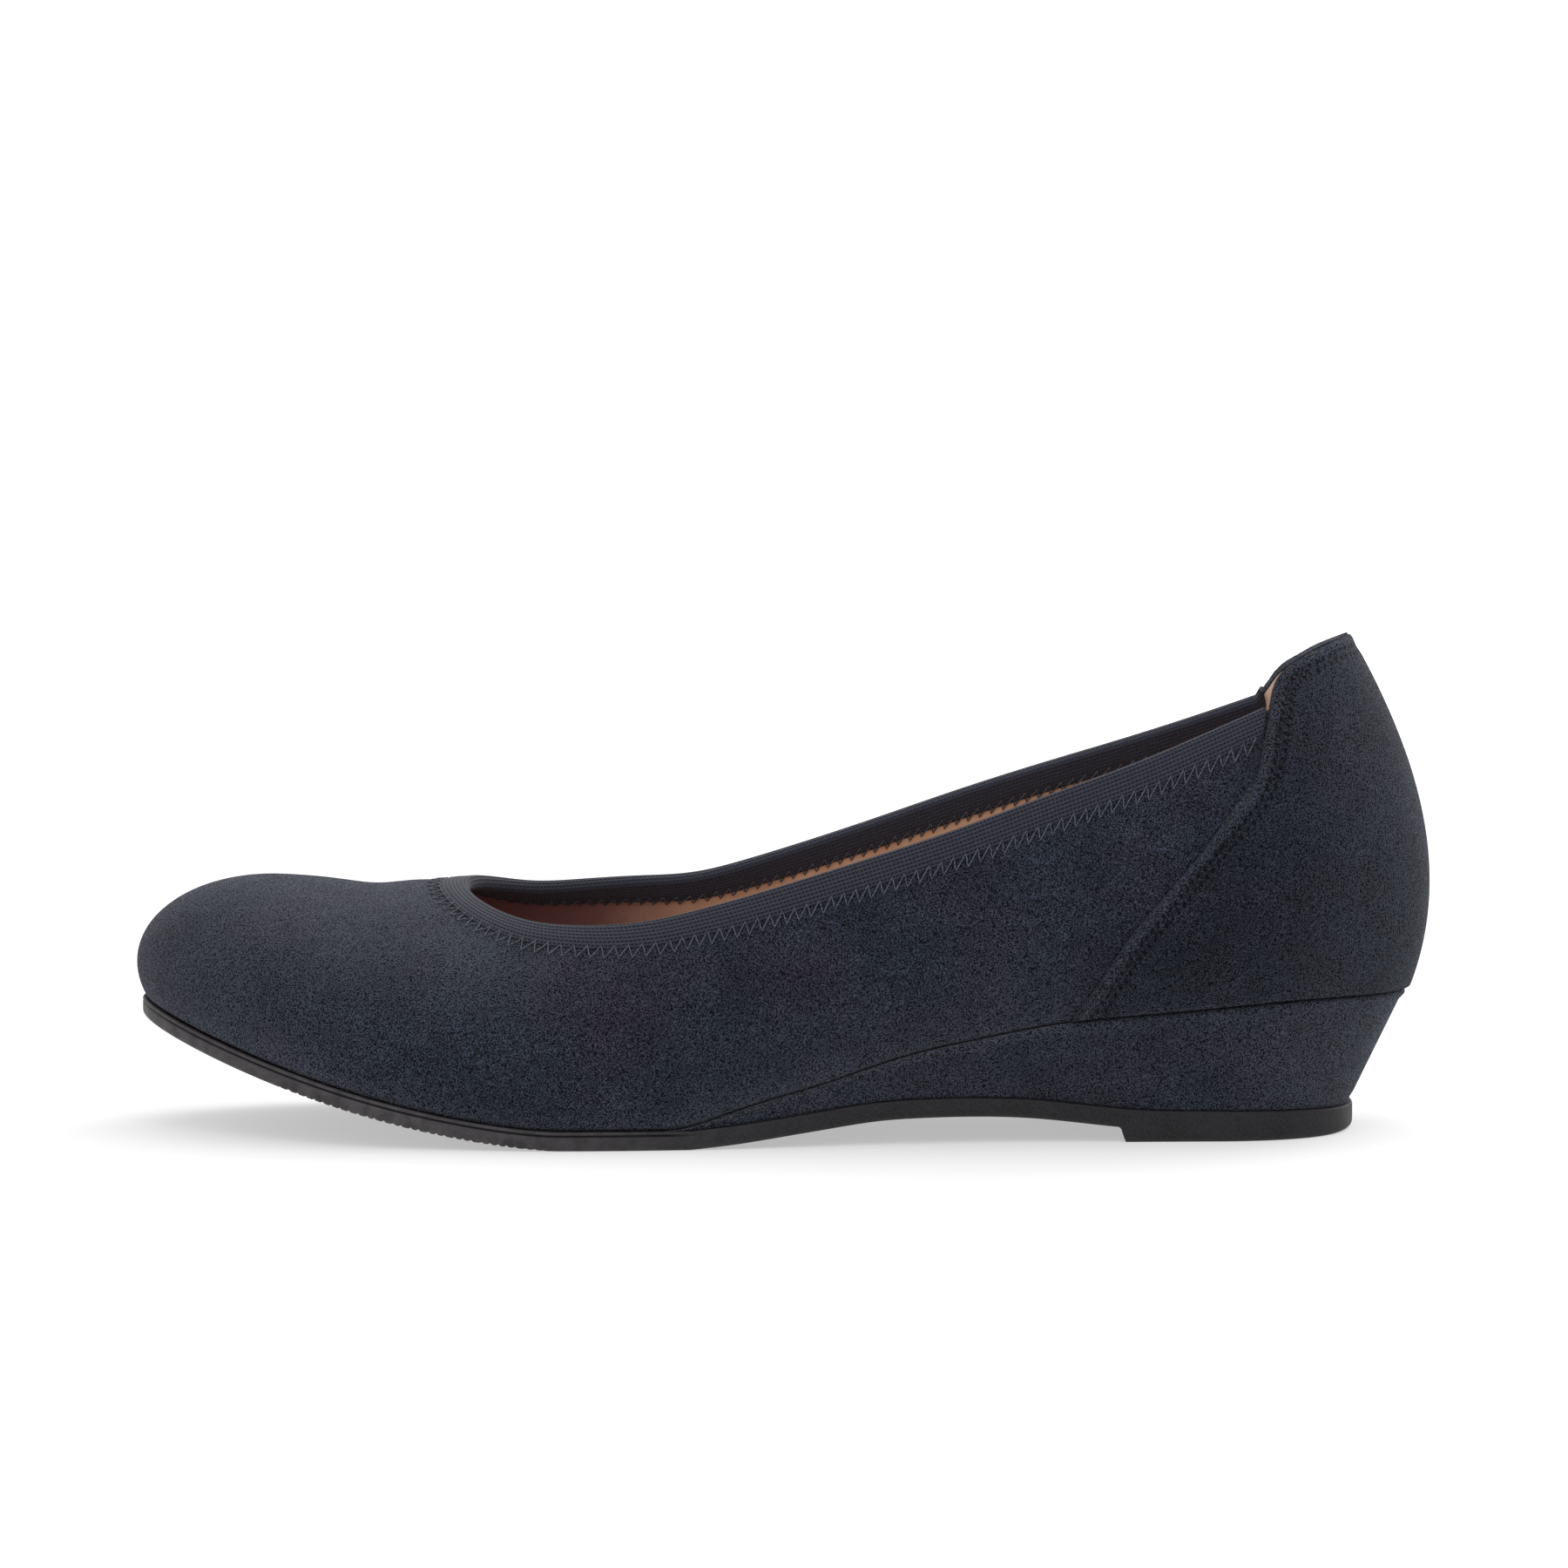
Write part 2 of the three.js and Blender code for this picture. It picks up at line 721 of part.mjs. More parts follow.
// Heel counter: a piece of the upper's own form, proud of it, from its front edge round the back to the tab.
function makeHeelCounter() {
  const steps = [
    ...evenSteps(counterRows, 0, 1).slice(0, -1)
      .map((share) => [counterStation(share), () => tabHeight * counterHeight(share)]),
    ...evenSteps(tabRows, tabFront, tabPeak).slice(0, -1)
      .map((station) => [station, (side) => collarTop(side, station)]),
  ];
  const solid = new Solid();
  const rows = steps.map(([station, heightOn], j) => {
    const row = {};
    for (const side of [outerSide, innerSide]) {
      const place = placeInSideView(side, station, heightOn(side));
      row[side] = { way: place.way, girth: j === 0 ? 0 : place.girth };
    }
    row.backGirth = (row[outerSide].girth + row[innerSide].girth) / 2;
    return row;
  });
  const shares = evenSteps(2 * counterColumns, -1, 1);
  const grid = (offset) => rows.map((row) => shares.map((share) => {
    const side = share < 0 ? outerSide : innerSide;
    const out = Math.abs(share);
    const girth = mix(row.backGirth, row[side].girth, out * out);
    const point = offsetPoint(side, mix(1, row[side].way, out), girth, offset);
    point.z = Math.max(point.z, featherHeight(point.x / shoeLength));
    return solid.add(point);
  }));
  const inside = grid(counterClearance);
  const outside = grid(counterClearance + counterThickness);
  const top = rows.length - 1;
  const end = shares.length - 1;
  for (let j = 0; j < top; j += 1) {
    for (let i = 0; i < end; i += 1) {
      solid.quad(outside[j][i], outside[j][i + 1], outside[j + 1][i + 1], outside[j + 1][i]);
      solid.quad(inside[j + 1][i], inside[j + 1][i + 1], inside[j][i + 1], inside[j][i]);
    }
    solid.quad(outside[j + 1][0], inside[j + 1][0], inside[j][0], outside[j][0]);
    solid.quad(outside[j][end], inside[j][end], inside[j + 1][end], outside[j + 1][end]);
  }
  for (let i = 0; i < end; i += 1) {
    solid.quad(outside[0][i + 1], outside[0][i], inside[0][i], inside[0][i + 1]);
    solid.quad(outside[top][i], outside[top][i + 1], inside[top][i + 1], inside[top][i]);
  }
  return solid.mesh('heel_counter', navySuede);
}

// Place on the topline: turn runs from -1 at the outer end of the binding over 0 at the throat to 1.
function edgePlace(turn, endWays) {
  const side = turn < 0 ? outerSide : innerSide;
  const way = mix(throatWay, endWays[side], Math.abs(turn) ** collarSpread);
  return { side, way, girth: edgeGirth(side, way) };
}

function edgePoint(turn, endWays) {
  const place = edgePlace(turn, endWays);
  return lastPoint(place.side, place.way, place.girth);
}

// Walks over the last from a place in a direction, by steps that fall back onto the form.
function walk(place, direction, distance) {
  const target = lastPoint(place.side, place.way, place.girth).addScaledVector(direction, distance);
  let { way, girth } = place;
  const step = 0.001;
  const rounds = 6;
  for (let i = 0; i < rounds; i += 1) {
    const here = lastPoint(place.side, way, girth);
    const along = lastPoint(place.side, way + step, girth).sub(here).divideScalar(step);
    const up = lastPoint(place.side, way, girth + step).sub(here).divideScalar(step);
    const miss = target.clone().sub(here);
    const [aa, ab, bb] = [along.dot(along), along.dot(up), up.dot(up)];
    const [am, bm] = [along.dot(miss), up.dot(miss)];
    const scale = aa * bb - ab * ab;
    way += (am * bb - bm * ab) / scale;
    girth += (bm * aa - am * ab) / scale;
  }
  return { side: place.side, way, girth };
}

// Binding: elastic folded over the edge of the upper, as a channel swept along that edge.
// Each point of its section is a distance below the edge and an offset out of the upper's face.
function makeBinding() {
  const waysAt = (station) => ({
    [outerSide]: wayOnCollar(outerSide, station),
    [innerSide]: wayOnCollar(innerSide, station),
  });
  const topEnds = waysAt(bindingEnd);
  const lowEnds = waysAt(bindingEnd - (bindingEndSlant * bindingWidth) / shoeLength);
  const endWays = (share) => ({
    [outerSide]: mix(topEnds[outerSide], lowEnds[outerSide], share),
    [innerSide]: mix(topEnds[innerSide], lowEnds[innerSide], share),
  });
  const inner = upperWall + clearance;
  const outer = clearance + bindingThickness;
  const half = bindingWidth / 2;
  const skin = [
    [bindingWidth, outer],
    [half, outer],
    [-bindingCorner, outer - bindingCorner / 2],
    [-bindingFold, 0],
    [-bindingFold, -upperWall],
    [-bindingCorner, -inner - bindingThickness + bindingCorner / 2],
    [half, -inner - bindingThickness],
    [bindingWidth, -inner - bindingThickness],
  ];
  const channel = [
    [bindingWidth, clearance],
    [half, clearance],
    [clearance / 2, clearance],
    [-clearance, clearance / 3],
    [-clearance, -upperWall - clearance / 3],
    [clearance / 2, -inner],
    [half, -inner],
    [bindingWidth, -inner],
  ];
  const solid = new Solid();
  const turns = evenSteps(2 * collarColumns, 1, -1);
  const step = 0.01;
  const rings = turns.map((turn) => {
    const at = ([distance, offset]) => {
      const rowEnd = endWays(Math.max(distance, 0) / bindingWidth);
      const place = edgePlace(turn, rowEnd);
      const along = edgePoint(turn + step, rowEnd).sub(edgePoint(turn - step, rowEnd)).normalize();
      const edge = lastPoint(place.side, place.way, place.girth);
      const normal = lastNormal(place.side, place.way, place.girth);
      const away = normal.clone().cross(along).normalize();
      if (distance <= 0) {
        return edge.clone().addScaledVector(away, distance).addScaledVector(normal, offset);
      }
      const below = walk(place, away, distance);
      return offsetPoint(below.side, below.way, below.girth, offset);
    };
    return {
      skin: skin.map((corner) => solid.add(at(corner))),
      channel: channel.map((corner) => solid.add(at(corner))),
    };
  });
  const last = skin.length - 1;
  for (let k = 0; k < rings.length - 1; k += 1) {
    const [here, next] = [rings[k], rings[k + 1]];
    for (let i = 0; i < last; i += 1) {
      solid.quad(here.skin[i], next.skin[i], next.skin[i + 1], here.skin[i + 1]);
      solid.quad(here.channel[i + 1], next.channel[i + 1], next.channel[i], here.channel[i]);
    }
    solid.quad(next.skin[0], here.skin[0], here.channel[0], next.channel[0]);
    solid.quad(here.skin[last], next.skin[last], next.channel[last], here.channel[last]);
  }
  const [front, back] = [rings[0], rings[rings.length - 1]];
  for (let i = 0; i < last; i += 1) {
    solid.quad(front.skin[i], front.skin[i + 1], front.channel[i + 1], front.channel[i]);
    solid.quad(back.skin[i + 1], back.skin[i], back.channel[i], back.channel[i + 1]);
  }
  return solid.mesh('topline_binding', blackElastic);
}

const shoe = new THREE.Group();
shoe.name = 'wedge_ballerina';
shoe.add(makeOutsole());
shoe.add(makeWedge());
shoe.add(makeUpper());
shoe.add(makeHeelCounter());
shoe.add(makeBinding());
shoe.add(makeInsole());

// The origin lies under the middle of the whole shoe, on the floor.
const whole = new THREE.Box3().setFromObject(shoe);
const middle = whole.getCenter(new THREE.Vector3());
shoe.position.set(-middle.x, -middle.y, -whole.min.z);

export default shoe;
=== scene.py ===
"""A women's ballerina on a low covered wedge, the left shoe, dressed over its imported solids.

Every piece is worked out in the shoe's own millimetres: along the foot from the toe, across it towards
the inner side, and up from the floor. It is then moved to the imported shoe's place and written in metres.
"""

from functools import partial

import bmesh
import bpy
import numpy as np
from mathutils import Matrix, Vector


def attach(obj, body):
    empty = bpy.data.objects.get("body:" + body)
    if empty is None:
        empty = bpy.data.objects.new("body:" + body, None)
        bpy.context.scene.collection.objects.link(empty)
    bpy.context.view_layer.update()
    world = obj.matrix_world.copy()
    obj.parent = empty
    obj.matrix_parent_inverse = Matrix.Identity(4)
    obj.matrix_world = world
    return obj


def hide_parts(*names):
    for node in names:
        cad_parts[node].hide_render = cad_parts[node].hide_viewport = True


bl_info = {
    "name": "Wedge ballerina",
    "version": (1, 0, 0),
    "blender": (4, 5, 0),
    "location": "3D View > Sidebar > Shoe",
    "description": "Makes the suede, elastic, lining and sole of a wedge ballerina round its solids",
    "category": "Object",
}

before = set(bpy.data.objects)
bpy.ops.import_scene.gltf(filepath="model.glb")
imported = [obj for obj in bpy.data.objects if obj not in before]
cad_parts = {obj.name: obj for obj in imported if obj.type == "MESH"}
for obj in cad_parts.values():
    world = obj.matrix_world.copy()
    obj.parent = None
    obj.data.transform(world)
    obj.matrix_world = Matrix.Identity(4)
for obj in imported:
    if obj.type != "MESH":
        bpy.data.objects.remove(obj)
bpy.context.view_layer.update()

MM = 0.001
OUTER = -1
INNER = 1

# Place of the shoe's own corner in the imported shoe, in millimetres
ALONG_SHIFT = -125.57
ACROSS_SHIFT = 2.183

# Sizes of the solids that the surfaces follow, in millimetres
SHOE_LENGTH = 252
BALL_WIDTH = 84
VAMP_HEIGHT = 48
COLLAR_HEIGHT = 84
TAB_HEIGHT = 96.8
HEEL_SEAT_HEIGHT = 28
TOE_SPRING = 21.3
ARCH_RISE = 5.2
OUTSOLE_THICKNESS = 3.7
OUTSOLE_EDGE_RADIUS = 1.1
HEEL_BREAST_RUN = 0.9
INSOLE_THICKNESS = 3.6
INSOLE_EDGE_ROUND = 0.8
WEDGE_LEDGE = 0.8
UPPER_WALL = 1.6
THROAT_HALF_WIDTHS = (31, 28.5)
COUNTER_THICKNESS = 1.4
BINDING_WIDTH = 6
BINDING_FOLD = 1
BINDING_END_SLANT = 0.588
CLEARANCE = 0.3
COUNTER_CLEARANCE = 0.36
FEATHER_BLEND = 0.5

# Height of the elastic's face above the suede and the lining, pressed flatter than its solid, and the gap
# that the band keeps under it
BINDING_FACE = 0.62
BINDING_GAP = 0.05

# Offsets of the suede's inner face and of the lining's outer face from the lasted form
SUEDE_BACK = -0.8
LINING_FACE = -0.85

# Points closer than the first distance are one point, and edges below the second are taken out
MERGE_DISTANCE = 0.002
SLIVER_LENGTH = 0.0005

# Places along the shoe, as shares of its length
OUTSOLE_TIP = 0.0025
OUTSOLE_BACK = 0.9395
FEATHER_TIP = 0.006
FEATHER_BACK = 0.9765
TOE_ROUND_LENGTH = 0.228
OUTSOLE_HEEL_ROUND = 0.111
FEATHER_HEEL_ROUND = 0.127
TOE_POLE_REACH = 0.119
HEEL_POLE_REACH = 0.115
BALL_START = 0.329
BALL_END = 0.429
HEEL_BREAST = 0.757
WEDGE_FRONT = 0.43
WEDGE_COVER_FRONT = 0.411
THROAT_FRONT = 0.2525
THROAT_LENGTH = 0.143
TAB_FRONT = 0.8702
TAB_PEAK = 0.930
BINDING_ENDS = np.array([0.8675, 0.874])
COLLAR_BLEND = (0.29, 0.4)
BEAD_END = (0.41, 0.44)
TREAD_START = (0.105, 0.13)
TREAD_END = (0.30, 0.325)
REAR_CORNER = (0.915, OUTSOLE_BACK)
# Where the painted shade deep in the toe fades out
TOE_SHADE_END = (0.33, 0.46)
TAB_LINING_START = (0.84, 0.875)

# Exponents of the rounded ends of the outline and of the rise of the toe
TOE_ROUNDNESS = 2
HEEL_ROUNDNESS = 2.3
TOE_SPRING_POWER = 1.57


def spline(x, y, bend, at):
    """Cubic curve through the points x, y with the given second slopes, held level beyond its ends."""
    t = np.clip(at, x[0], x[-1])
    i = np.clip(np.searchsorted(x, t) - 1, 0, len(x) - 2)
    step = x[i + 1] - x[i]
    a = (x[i + 1] - t) / step
    b = 1 - a
    sag = ((a**3 - a) * bend[i] + (b**3 - b) * bend[i + 1]) * step**2 / 6
    return a * y[i] + b * y[i + 1] + sag


def curves(columns, rows):
    """Natural cubic splines through the columns of a table, over its first column."""
    data = np.array(rows, dtype=float)
    x = data[:, 0]
    gap = np.diff(x)
    system = np.eye(len(x))
    inside = np.arange(1, len(x) - 1)
    system[inside, inside - 1] = gap[:-1]
    system[inside, inside] = 2 * (gap[:-1] + gap[1:])
    system[inside, inside + 1] = gap[1:]
    found = {}
    for name, y in zip(columns[1:], data.T[1:]):
        load = np.zeros(len(x))
        load[1:-1] = 6 * np.diff(np.diff(y) / gap)
        found[name] = partial(spline, x, y, np.linalg.solve(system, load))
    return found


# Plan of the sole: the middle line's distance from the axis and the half widths of the outsole and of the
# feather, where the upper meets the sole, as shares of the ball width.
PLAN = curves(
    ["station", "centre", "outsole", "feather"],
    [
        [0.00, 0.083, 0.488, 0.480],
        [0.08, 0.053, 0.488, 0.480],
        [0.16, 0.010, 0.488, 0.480],
        [0.24, -0.014, 0.495, 0.487],
        [0.32, -0.036, 0.494, 0.486],
        [0.40, -0.051, 0.466, 0.458],
        [0.48, -0.062, 0.417, 0.412],
        [0.56, -0.061, 0.370, 0.371],
        [0.64, -0.049, 0.341, 0.354],
        [0.72, -0.032, 0.331, 0.352],
        [0.80, -0.017, 0.333, 0.357],
        [0.88, -0.007, 0.334, 0.361],
        [1.00, 0.000, 0.334, 0.361],
    ],
)

# Rise of the outsole's underside behind the ball, as a share of the rise of the arch.
ARCH = curves(
    ["station", "rise"],
    [
        [0.43, 0.00],
        [0.465, 0.17],
        [0.50, 0.41],
        [0.535, 0.66],
        [0.57, 0.89],
        [0.61, 0.99],
        [0.65, 1.00],
        [0.69, 0.91],
        [0.73, 0.70],
        [0.77, 0.50],
        [0.81, 0.44],
        [0.86, 0.40],
        [0.90, 0.36],
        [0.94, 0.24],
    ],
)

# Top of the wedge above the floor, as a share of the height of the heel seat.
WEDGE_START = 0.40
WEDGE = curves(
    ["station", "top"],
    [
        [WEDGE_START, 0.086],
        [0.433, 0.175],
        [0.476, 0.304],
        [0.528, 0.436],
        [0.565, 0.546],
        [0.603, 0.648],
        [0.643, 0.725],
        [0.683, 0.795],
        [0.718, 0.846],
        [0.80, 0.914],
        [0.85, 0.957],
        [0.893, 0.990],
        [0.937, 1.000],
        [0.98, 0.993],
    ],
)

# Middle line of the arch over the foot: its height as a share of the vamp height, and its slope across.
CROWN = curves(
    ["station", "height", "tilt"],
    [
        [0.119, 1.006, 0.05],
        [0.15, 0.989, 0.08],
        [0.18, 0.973, 0.10],
        [0.215, 0.980, 0.12],
        [0.25, 0.984, 0.12],
        [0.29, 1.020, 0.11],
        [0.34, 1.120, 0.09],
        [0.40, 1.270, 0.06],
        [0.50, 1.600, 0.03],
        [0.62, 2.000, 0.00],
        [0.75, 2.320, 0.00],
        [0.87, 2.540, 0.00],
    ],
)

# Shape of each half section. rise and flare place its first handle, as shares of its height, and reach and
# fall its second handle, as a share of its width and as a slope.
SECTION = curves(
    ["station", "rise", "outer_flare", "inner_flare", "reach", "fall"],
    [
        [0.00, 0.56, 0.33, 0.33, 0.74, 0.00],
        [0.06, 0.56, 0.30, 0.28, 0.72, 0.00],
        [0.16, 0.56, 0.18, 0.14, 0.67, 0.00],
        [0.28, 0.52, 0.14, 0.10, 0.62, 0.00],
        [0.40, 0.50, 0.12, 0.12, 0.58, 0.02],
        [0.55, 0.42, 0.12, 0.15, 0.58, 0.10],
        [0.70, 0.33, 0.110, 0.120, 0.68, 0.40],
        [0.85, 0.28, 0.098, 0.098, 0.80, 1.45],
        [1.00, 0.30, 0.120, 0.120, 0.94, 1.70],
    ],
)

# Edge of the upper above the floor, as shares of the collar height.
COLLAR = curves(
    ["station", "outer", "inner"],
    [
        [0.28, 0.515, 0.565],
        [0.32, 0.507, 0.558],
        [0.365, 0.500, 0.548],
        [0.397, 0.507, 0.547],
        [0.433, 0.531, 0.555],
        [0.465, 0.557, 0.578],
        [0.50, 0.588, 0.610],
        [0.567, 0.650, 0.676],
        [0.635, 0.717, 0.746],
        [0.70, 0.788, 0.808],
        [0.77, 0.863, 0.872],
        [0.833, 0.940, 0.935],
        [0.8702, 0.987, 0.975],
    ],
)

# Outline of the pull tab in side view, as shares of the tab height.
TAB = curves(
    ["station", "outer", "inner"],
    [
        [0.8702, 0.856, 0.846],
        [0.8725, 0.888, 0.858],
        [0.8765, 0.914, 0.875],
        [0.8840, 0.934, 0.903],
        [0.8960, 0.952, 0.928],
        [0.9100, 0.971, 0.953],
        [0.9230, 0.983, 0.973],
        [0.9300, 0.986, 0.986],
    ],
)

# Front edge of the heel counter in side view, from the feather up, as shares of the tab height.
COUNTER = curves(
    ["share", "station", "height"],
    [
        [0.00, 0.718, 0.245],
        [0.14, 0.739, 0.322],
        [0.28, 0.759, 0.402],
        [0.42, 0.782, 0.473],
        [0.56, 0.805, 0.543],
        [0.70, 0.832, 0.622],
        [0.82, 0.852, 0.682],
        [0.90, 0.8605, 0.728],
        [1.00, 0.8702, 0.856],
    ],
)

# Soft troughs and ridges of the lasted suede, listed one by one: side, station, girth, their two spreads,
# slant and height. The side is 0 for both halves, the slant leans a trough back as it rises, and the height
# is in millimetres.
CREASES = [
    [0, 0.175, 0.98, 0.022, 0.20, 0.00, -0.35],
    [OUTER, 0.105, 0.62, 0.030, 0.16, 0.02, 0.30],
    [OUTER, 0.235, 0.70, 0.018, 0.14, 0.05, -0.25],
    [OUTER, 0.300, 0.45, 0.014, 0.20, 0.06, -0.22],
    [OUTER, 0.345, 0.38, 0.012, 0.18, 0.07, -0.28],
    [OUTER, 0.520, 0.20, 0.060, 0.10, 0.05, -0.45],
    [OUTER, 0.660, 0.25, 0.030, 0.12, 0.08, 0.25],
    [INNER, 0.250, 0.66, 0.018, 0.15, 0.05, -0.25],
    [INNER, 0.330, 0.42, 0.013, 0.20, 0.06, -0.30],
    [INNER, 0.560, 0.22, 0.070, 0.12, 0.04, -0.80],
]


def mix(a, b, share):
    """Value between a and b."""
    return a + (b - a) * share


def smooth_step(low, high, value):
    """Rises from 0 at low to 1 at high along a cubic."""
    t = np.clip((value - low) / (high - low), 0, 1)
    return t * t * (3 - 2 * t)


def bump_at(value, centre, spread):
    """Bell curve of height 1 at the centre."""
    return np.exp(-(((value - centre) / spread) ** 2))


def solve(rising, shape, halvings=34):
    """Share between 0 and 1 at which a rising function passes zero, found by halving, for a whole array."""
    low, high = np.zeros(shape), np.ones(shape)
    for _ in range(halvings):
        middle = (low + high) / 2
        below = rising(middle) < 0
        low = np.where(below, middle, low)
        high = np.where(below, high, middle)
    return (low + high) / 2


def unit(vectors):
    """Vectors at length 1."""
    return vectors / np.maximum(np.linalg.norm(vectors, axis=-1, keepdims=True), 1e-12)


def thin_underside(station):
    """Underside of the outsole as if it had no heel piece: a power curve to the toe, and the arch."""
    toe = np.maximum(1 - station / BALL_START, 0) ** TOE_SPRING_POWER
    arch = np.where(station > BALL_END, np.maximum(ARCH["rise"](station), 0), 0)
    return TOE_SPRING * toe + ARCH_RISE * arch


def outsole_underside(station):
    """Underside with the heel piece, which comes down to the floor behind its front step."""
    step = np.clip((station - HEEL_BREAST) * SHOE_LENGTH / HEEL_BREAST_RUN, 0, 1)
    return mix(thin_underside(station), 0, step)


def outsole_top(station):
    """Top of the outsole."""
    return thin_underside(station) + OUTSOLE_THICKNESS


def feather_height(station):
    """Height of the feather: on the outsole in front, and then on the wedge, with a rounded corner."""
    on_outsole = outsole_top(station) + CLEARANCE
    on_wedge = np.where(station < WEDGE_START, 0, HEEL_SEAT_HEIGHT * WEDGE["top"](station))
    return (on_outsole + on_wedge + np.hypot(on_outsole - on_wedge, FEATHER_BLEND)) / 2


def round_end(distance, length, roundness=2):
    """Share of the full half width at a distance from a rounded end: a quarter superellipse.

    A roundness of 2 makes it a quarter circle.
    """
    t = np.clip(distance / length, 0, 1)
    return (1 - (1 - t) ** roundness) ** (1 / roundness)


OUTSOLE_LINE = {"tip": OUTSOLE_TIP, "back": OUTSOLE_BACK, "half": "outsole", "heel": OUTSOLE_HEEL_ROUND}
FEATHER_LINE = {"tip": FEATHER_TIP, "back": FEATHER_BACK, "half": "feather", "heel": FEATHER_HEEL_ROUND}


def station_of_way(line, way):
    """Station of a way along an outline, from 0 at the toe to 1 at the heel by half a cosine."""
    return mix(line["tip"], line["back"], (1 - np.cos(np.pi * way)) / 2)


def way_of_station(line, station):
    """Way along an outline of a station."""
    share = np.clip((station - line["tip"]) / (line["back"] - line["tip"]), 0, 1)
    return np.arccos(1 - 2 * share) / np.pi


def folded_way(side, way):
    """Side and way, with a way beyond an end of the outline coming back on the other side."""
    side = np.where((way < 0) | (way > 1), -side, side)
    return side, np.where(way < 0, -way, np.where(way > 1, 2 - way, way))


def outline_point(line, side, way):
    """Point of an outline of the sole in plan."""
    side, way = folded_way(side, way)
    station = station_of_way(line, way)
    ends = round_end(station - line["tip"], TOE_ROUND_LENGTH, TOE_ROUNDNESS)
    ends = ends * round_end(line["back"] - station, line["heel"], HEEL_ROUNDNESS)
    across = BALL_WIDTH * (PLAN["centre"](station) + side * PLAN[line["half"]](station) * ends)
    return np.stack([SHOE_LENGTH * station, across], -1)


def inset_point(line, side, way, inset):
    """Point of an outline moved inwards, square to it."""
    step = 0.002
    along = unit(outline_point(line, side, way + step) - outline_point(line, side, way - step))
    inward = np.stack([-along[..., 1], along[..., 0]], -1) * np.asarray(-side * inset)[..., None]
    return outline_point(line, side, way) + inward


def crown_station(station):
    """Station of the crown over a station of the feather: the ends keep away by cube root curves."""
    from_tip = station - FEATHER_TIP
    from_back = FEATHER_BACK - station
    toe = np.cbrt(from_tip**3 + TOE_POLE_REACH**3) - from_tip
    heel = np.cbrt(from_back**3 + HEEL_POLE_REACH**3) - from_back
    return station + toe - heel


def crown_point(station):
    """Point of the middle line of the arch over the foot."""
    return np.stack(
        [
            SHOE_LENGTH * station,
            BALL_WIDTH * PLAN["centre"](station),
            VAMP_HEIGHT * CROWN["height"](station),
        ],
        -1,
    )


def last_point(side, way, girth):
    """Point of the lasted form. Each half section is a cubic Bezier curve from the feather up to the crown.

    way runs along the feather and girth up the section. A girth above 1 comes down on the other side.
    """
    side, way, girth = np.broadcast_arrays(side, way, girth)
    side = np.where(girth > 1, -side, side)
    girth = np.maximum(np.where(girth > 1, 2 - girth, girth), 0)
    side, way = folded_way(side, way)
    foot = outline_point(FEATHER_LINE, side, way)
    station = foot[..., 0] / SHOE_LENGTH
    crown = crown_station(station)
    start = np.concatenate([foot, feather_height(station)[..., None]], -1)
    end = crown_point(crown)
    height = end[..., 2] - start[..., 2]
    inward = end[..., :2] - start[..., :2]
    width = np.linalg.norm(inward, axis=-1)
    inward = unit(inward)
    step = 0.004
    slope = (crown_point(crown + step)[..., 2] - crown_point(crown - step)[..., 2]) / (2 * step * SHOE_LENGTH)
    climb = inward[..., 0] * slope + inward[..., 1] * CROWN["tilt"](crown) + SECTION["fall"](station)
    flare = np.where(side < 0, SECTION["outer_flare"](station), SECTION["inner_flare"](station)) * height
    reach = SECTION["reach"](station) * width
    first = start + np.concatenate(
        [-inward * flare[..., None], (SECTION["rise"](station) * height)[..., None]], -1
    )
    second = end - np.concatenate([inward * reach[..., None], (climb * reach)[..., None]], -1)
    t = girth[..., None]
    s = 1 - t
    return s**3 * start + 3 * s * s * t * first + 3 * s * t * t * second + t**3 * end


def last_normal(side, way, girth):
    """Direction out of the lasted form, from small steps along it and up it."""
    side, way, girth = np.broadcast_arrays(side, way, girth)
    step = 0.001
    along = last_point(side, way + step, girth) - last_point(side, way - step, girth)
    up = last_point(side, way, girth + step) - last_point(side, way, girth - step)
    normal = unit(np.cross(along, up) * -side[..., None])
    station = crown_station(station_of_way(FEATHER_LINE, way))
    ridge = crown_point(station + step) - crown_point(station - step)
    over = np.stack([0 * station, 0 * station + 1, CROWN["tilt"](station)], -1)
    at_crown = np.abs(girth - 1) < step
    return np.where(at_crown[..., None], unit(np.cross(ridge, over)), normal)


def offset_point(side, way, girth, offset):
    """Point at a distance out of the lasted form."""
    return last_point(side, way, girth) + last_normal(side, way, girth) * np.asarray(offset)[..., None]


def place_in_side_view(side, station, height):
    """Way and girth that show at a station and height in side view."""
    side, station, height = np.broadcast_arrays(side, station, height)

    def girth_at(way):
        return solve(lambda girth: last_point(side, way, girth)[..., 2] - height, side.shape)

    way = solve(lambda at: last_point(side, at, girth_at(at))[..., 0] - station * SHOE_LENGTH, side.shape)
    return way, girth_at(way)


def on_side(side, outer, inner):
    """Picks the value of the outer or the inner side."""
    return np.where(np.asarray(side) < 0, outer, inner)


def collar_top(side, station):
    """Height of the upper's edge: the collar's, and behind its front corner the tab's."""
    collar = COLLAR_HEIGHT * on_side(side, COLLAR["outer"](station), COLLAR["inner"](station))
    tab = TAB_HEIGHT * on_side(side, TAB["outer"](station), TAB["inner"](station))
    return np.where(station >= TAB_FRONT, tab, collar)


THROAT_WAY = float(
    solve(lambda way: crown_station(station_of_way(FEATHER_LINE, way / 2)) - THROAT_FRONT, ()) / 2
)


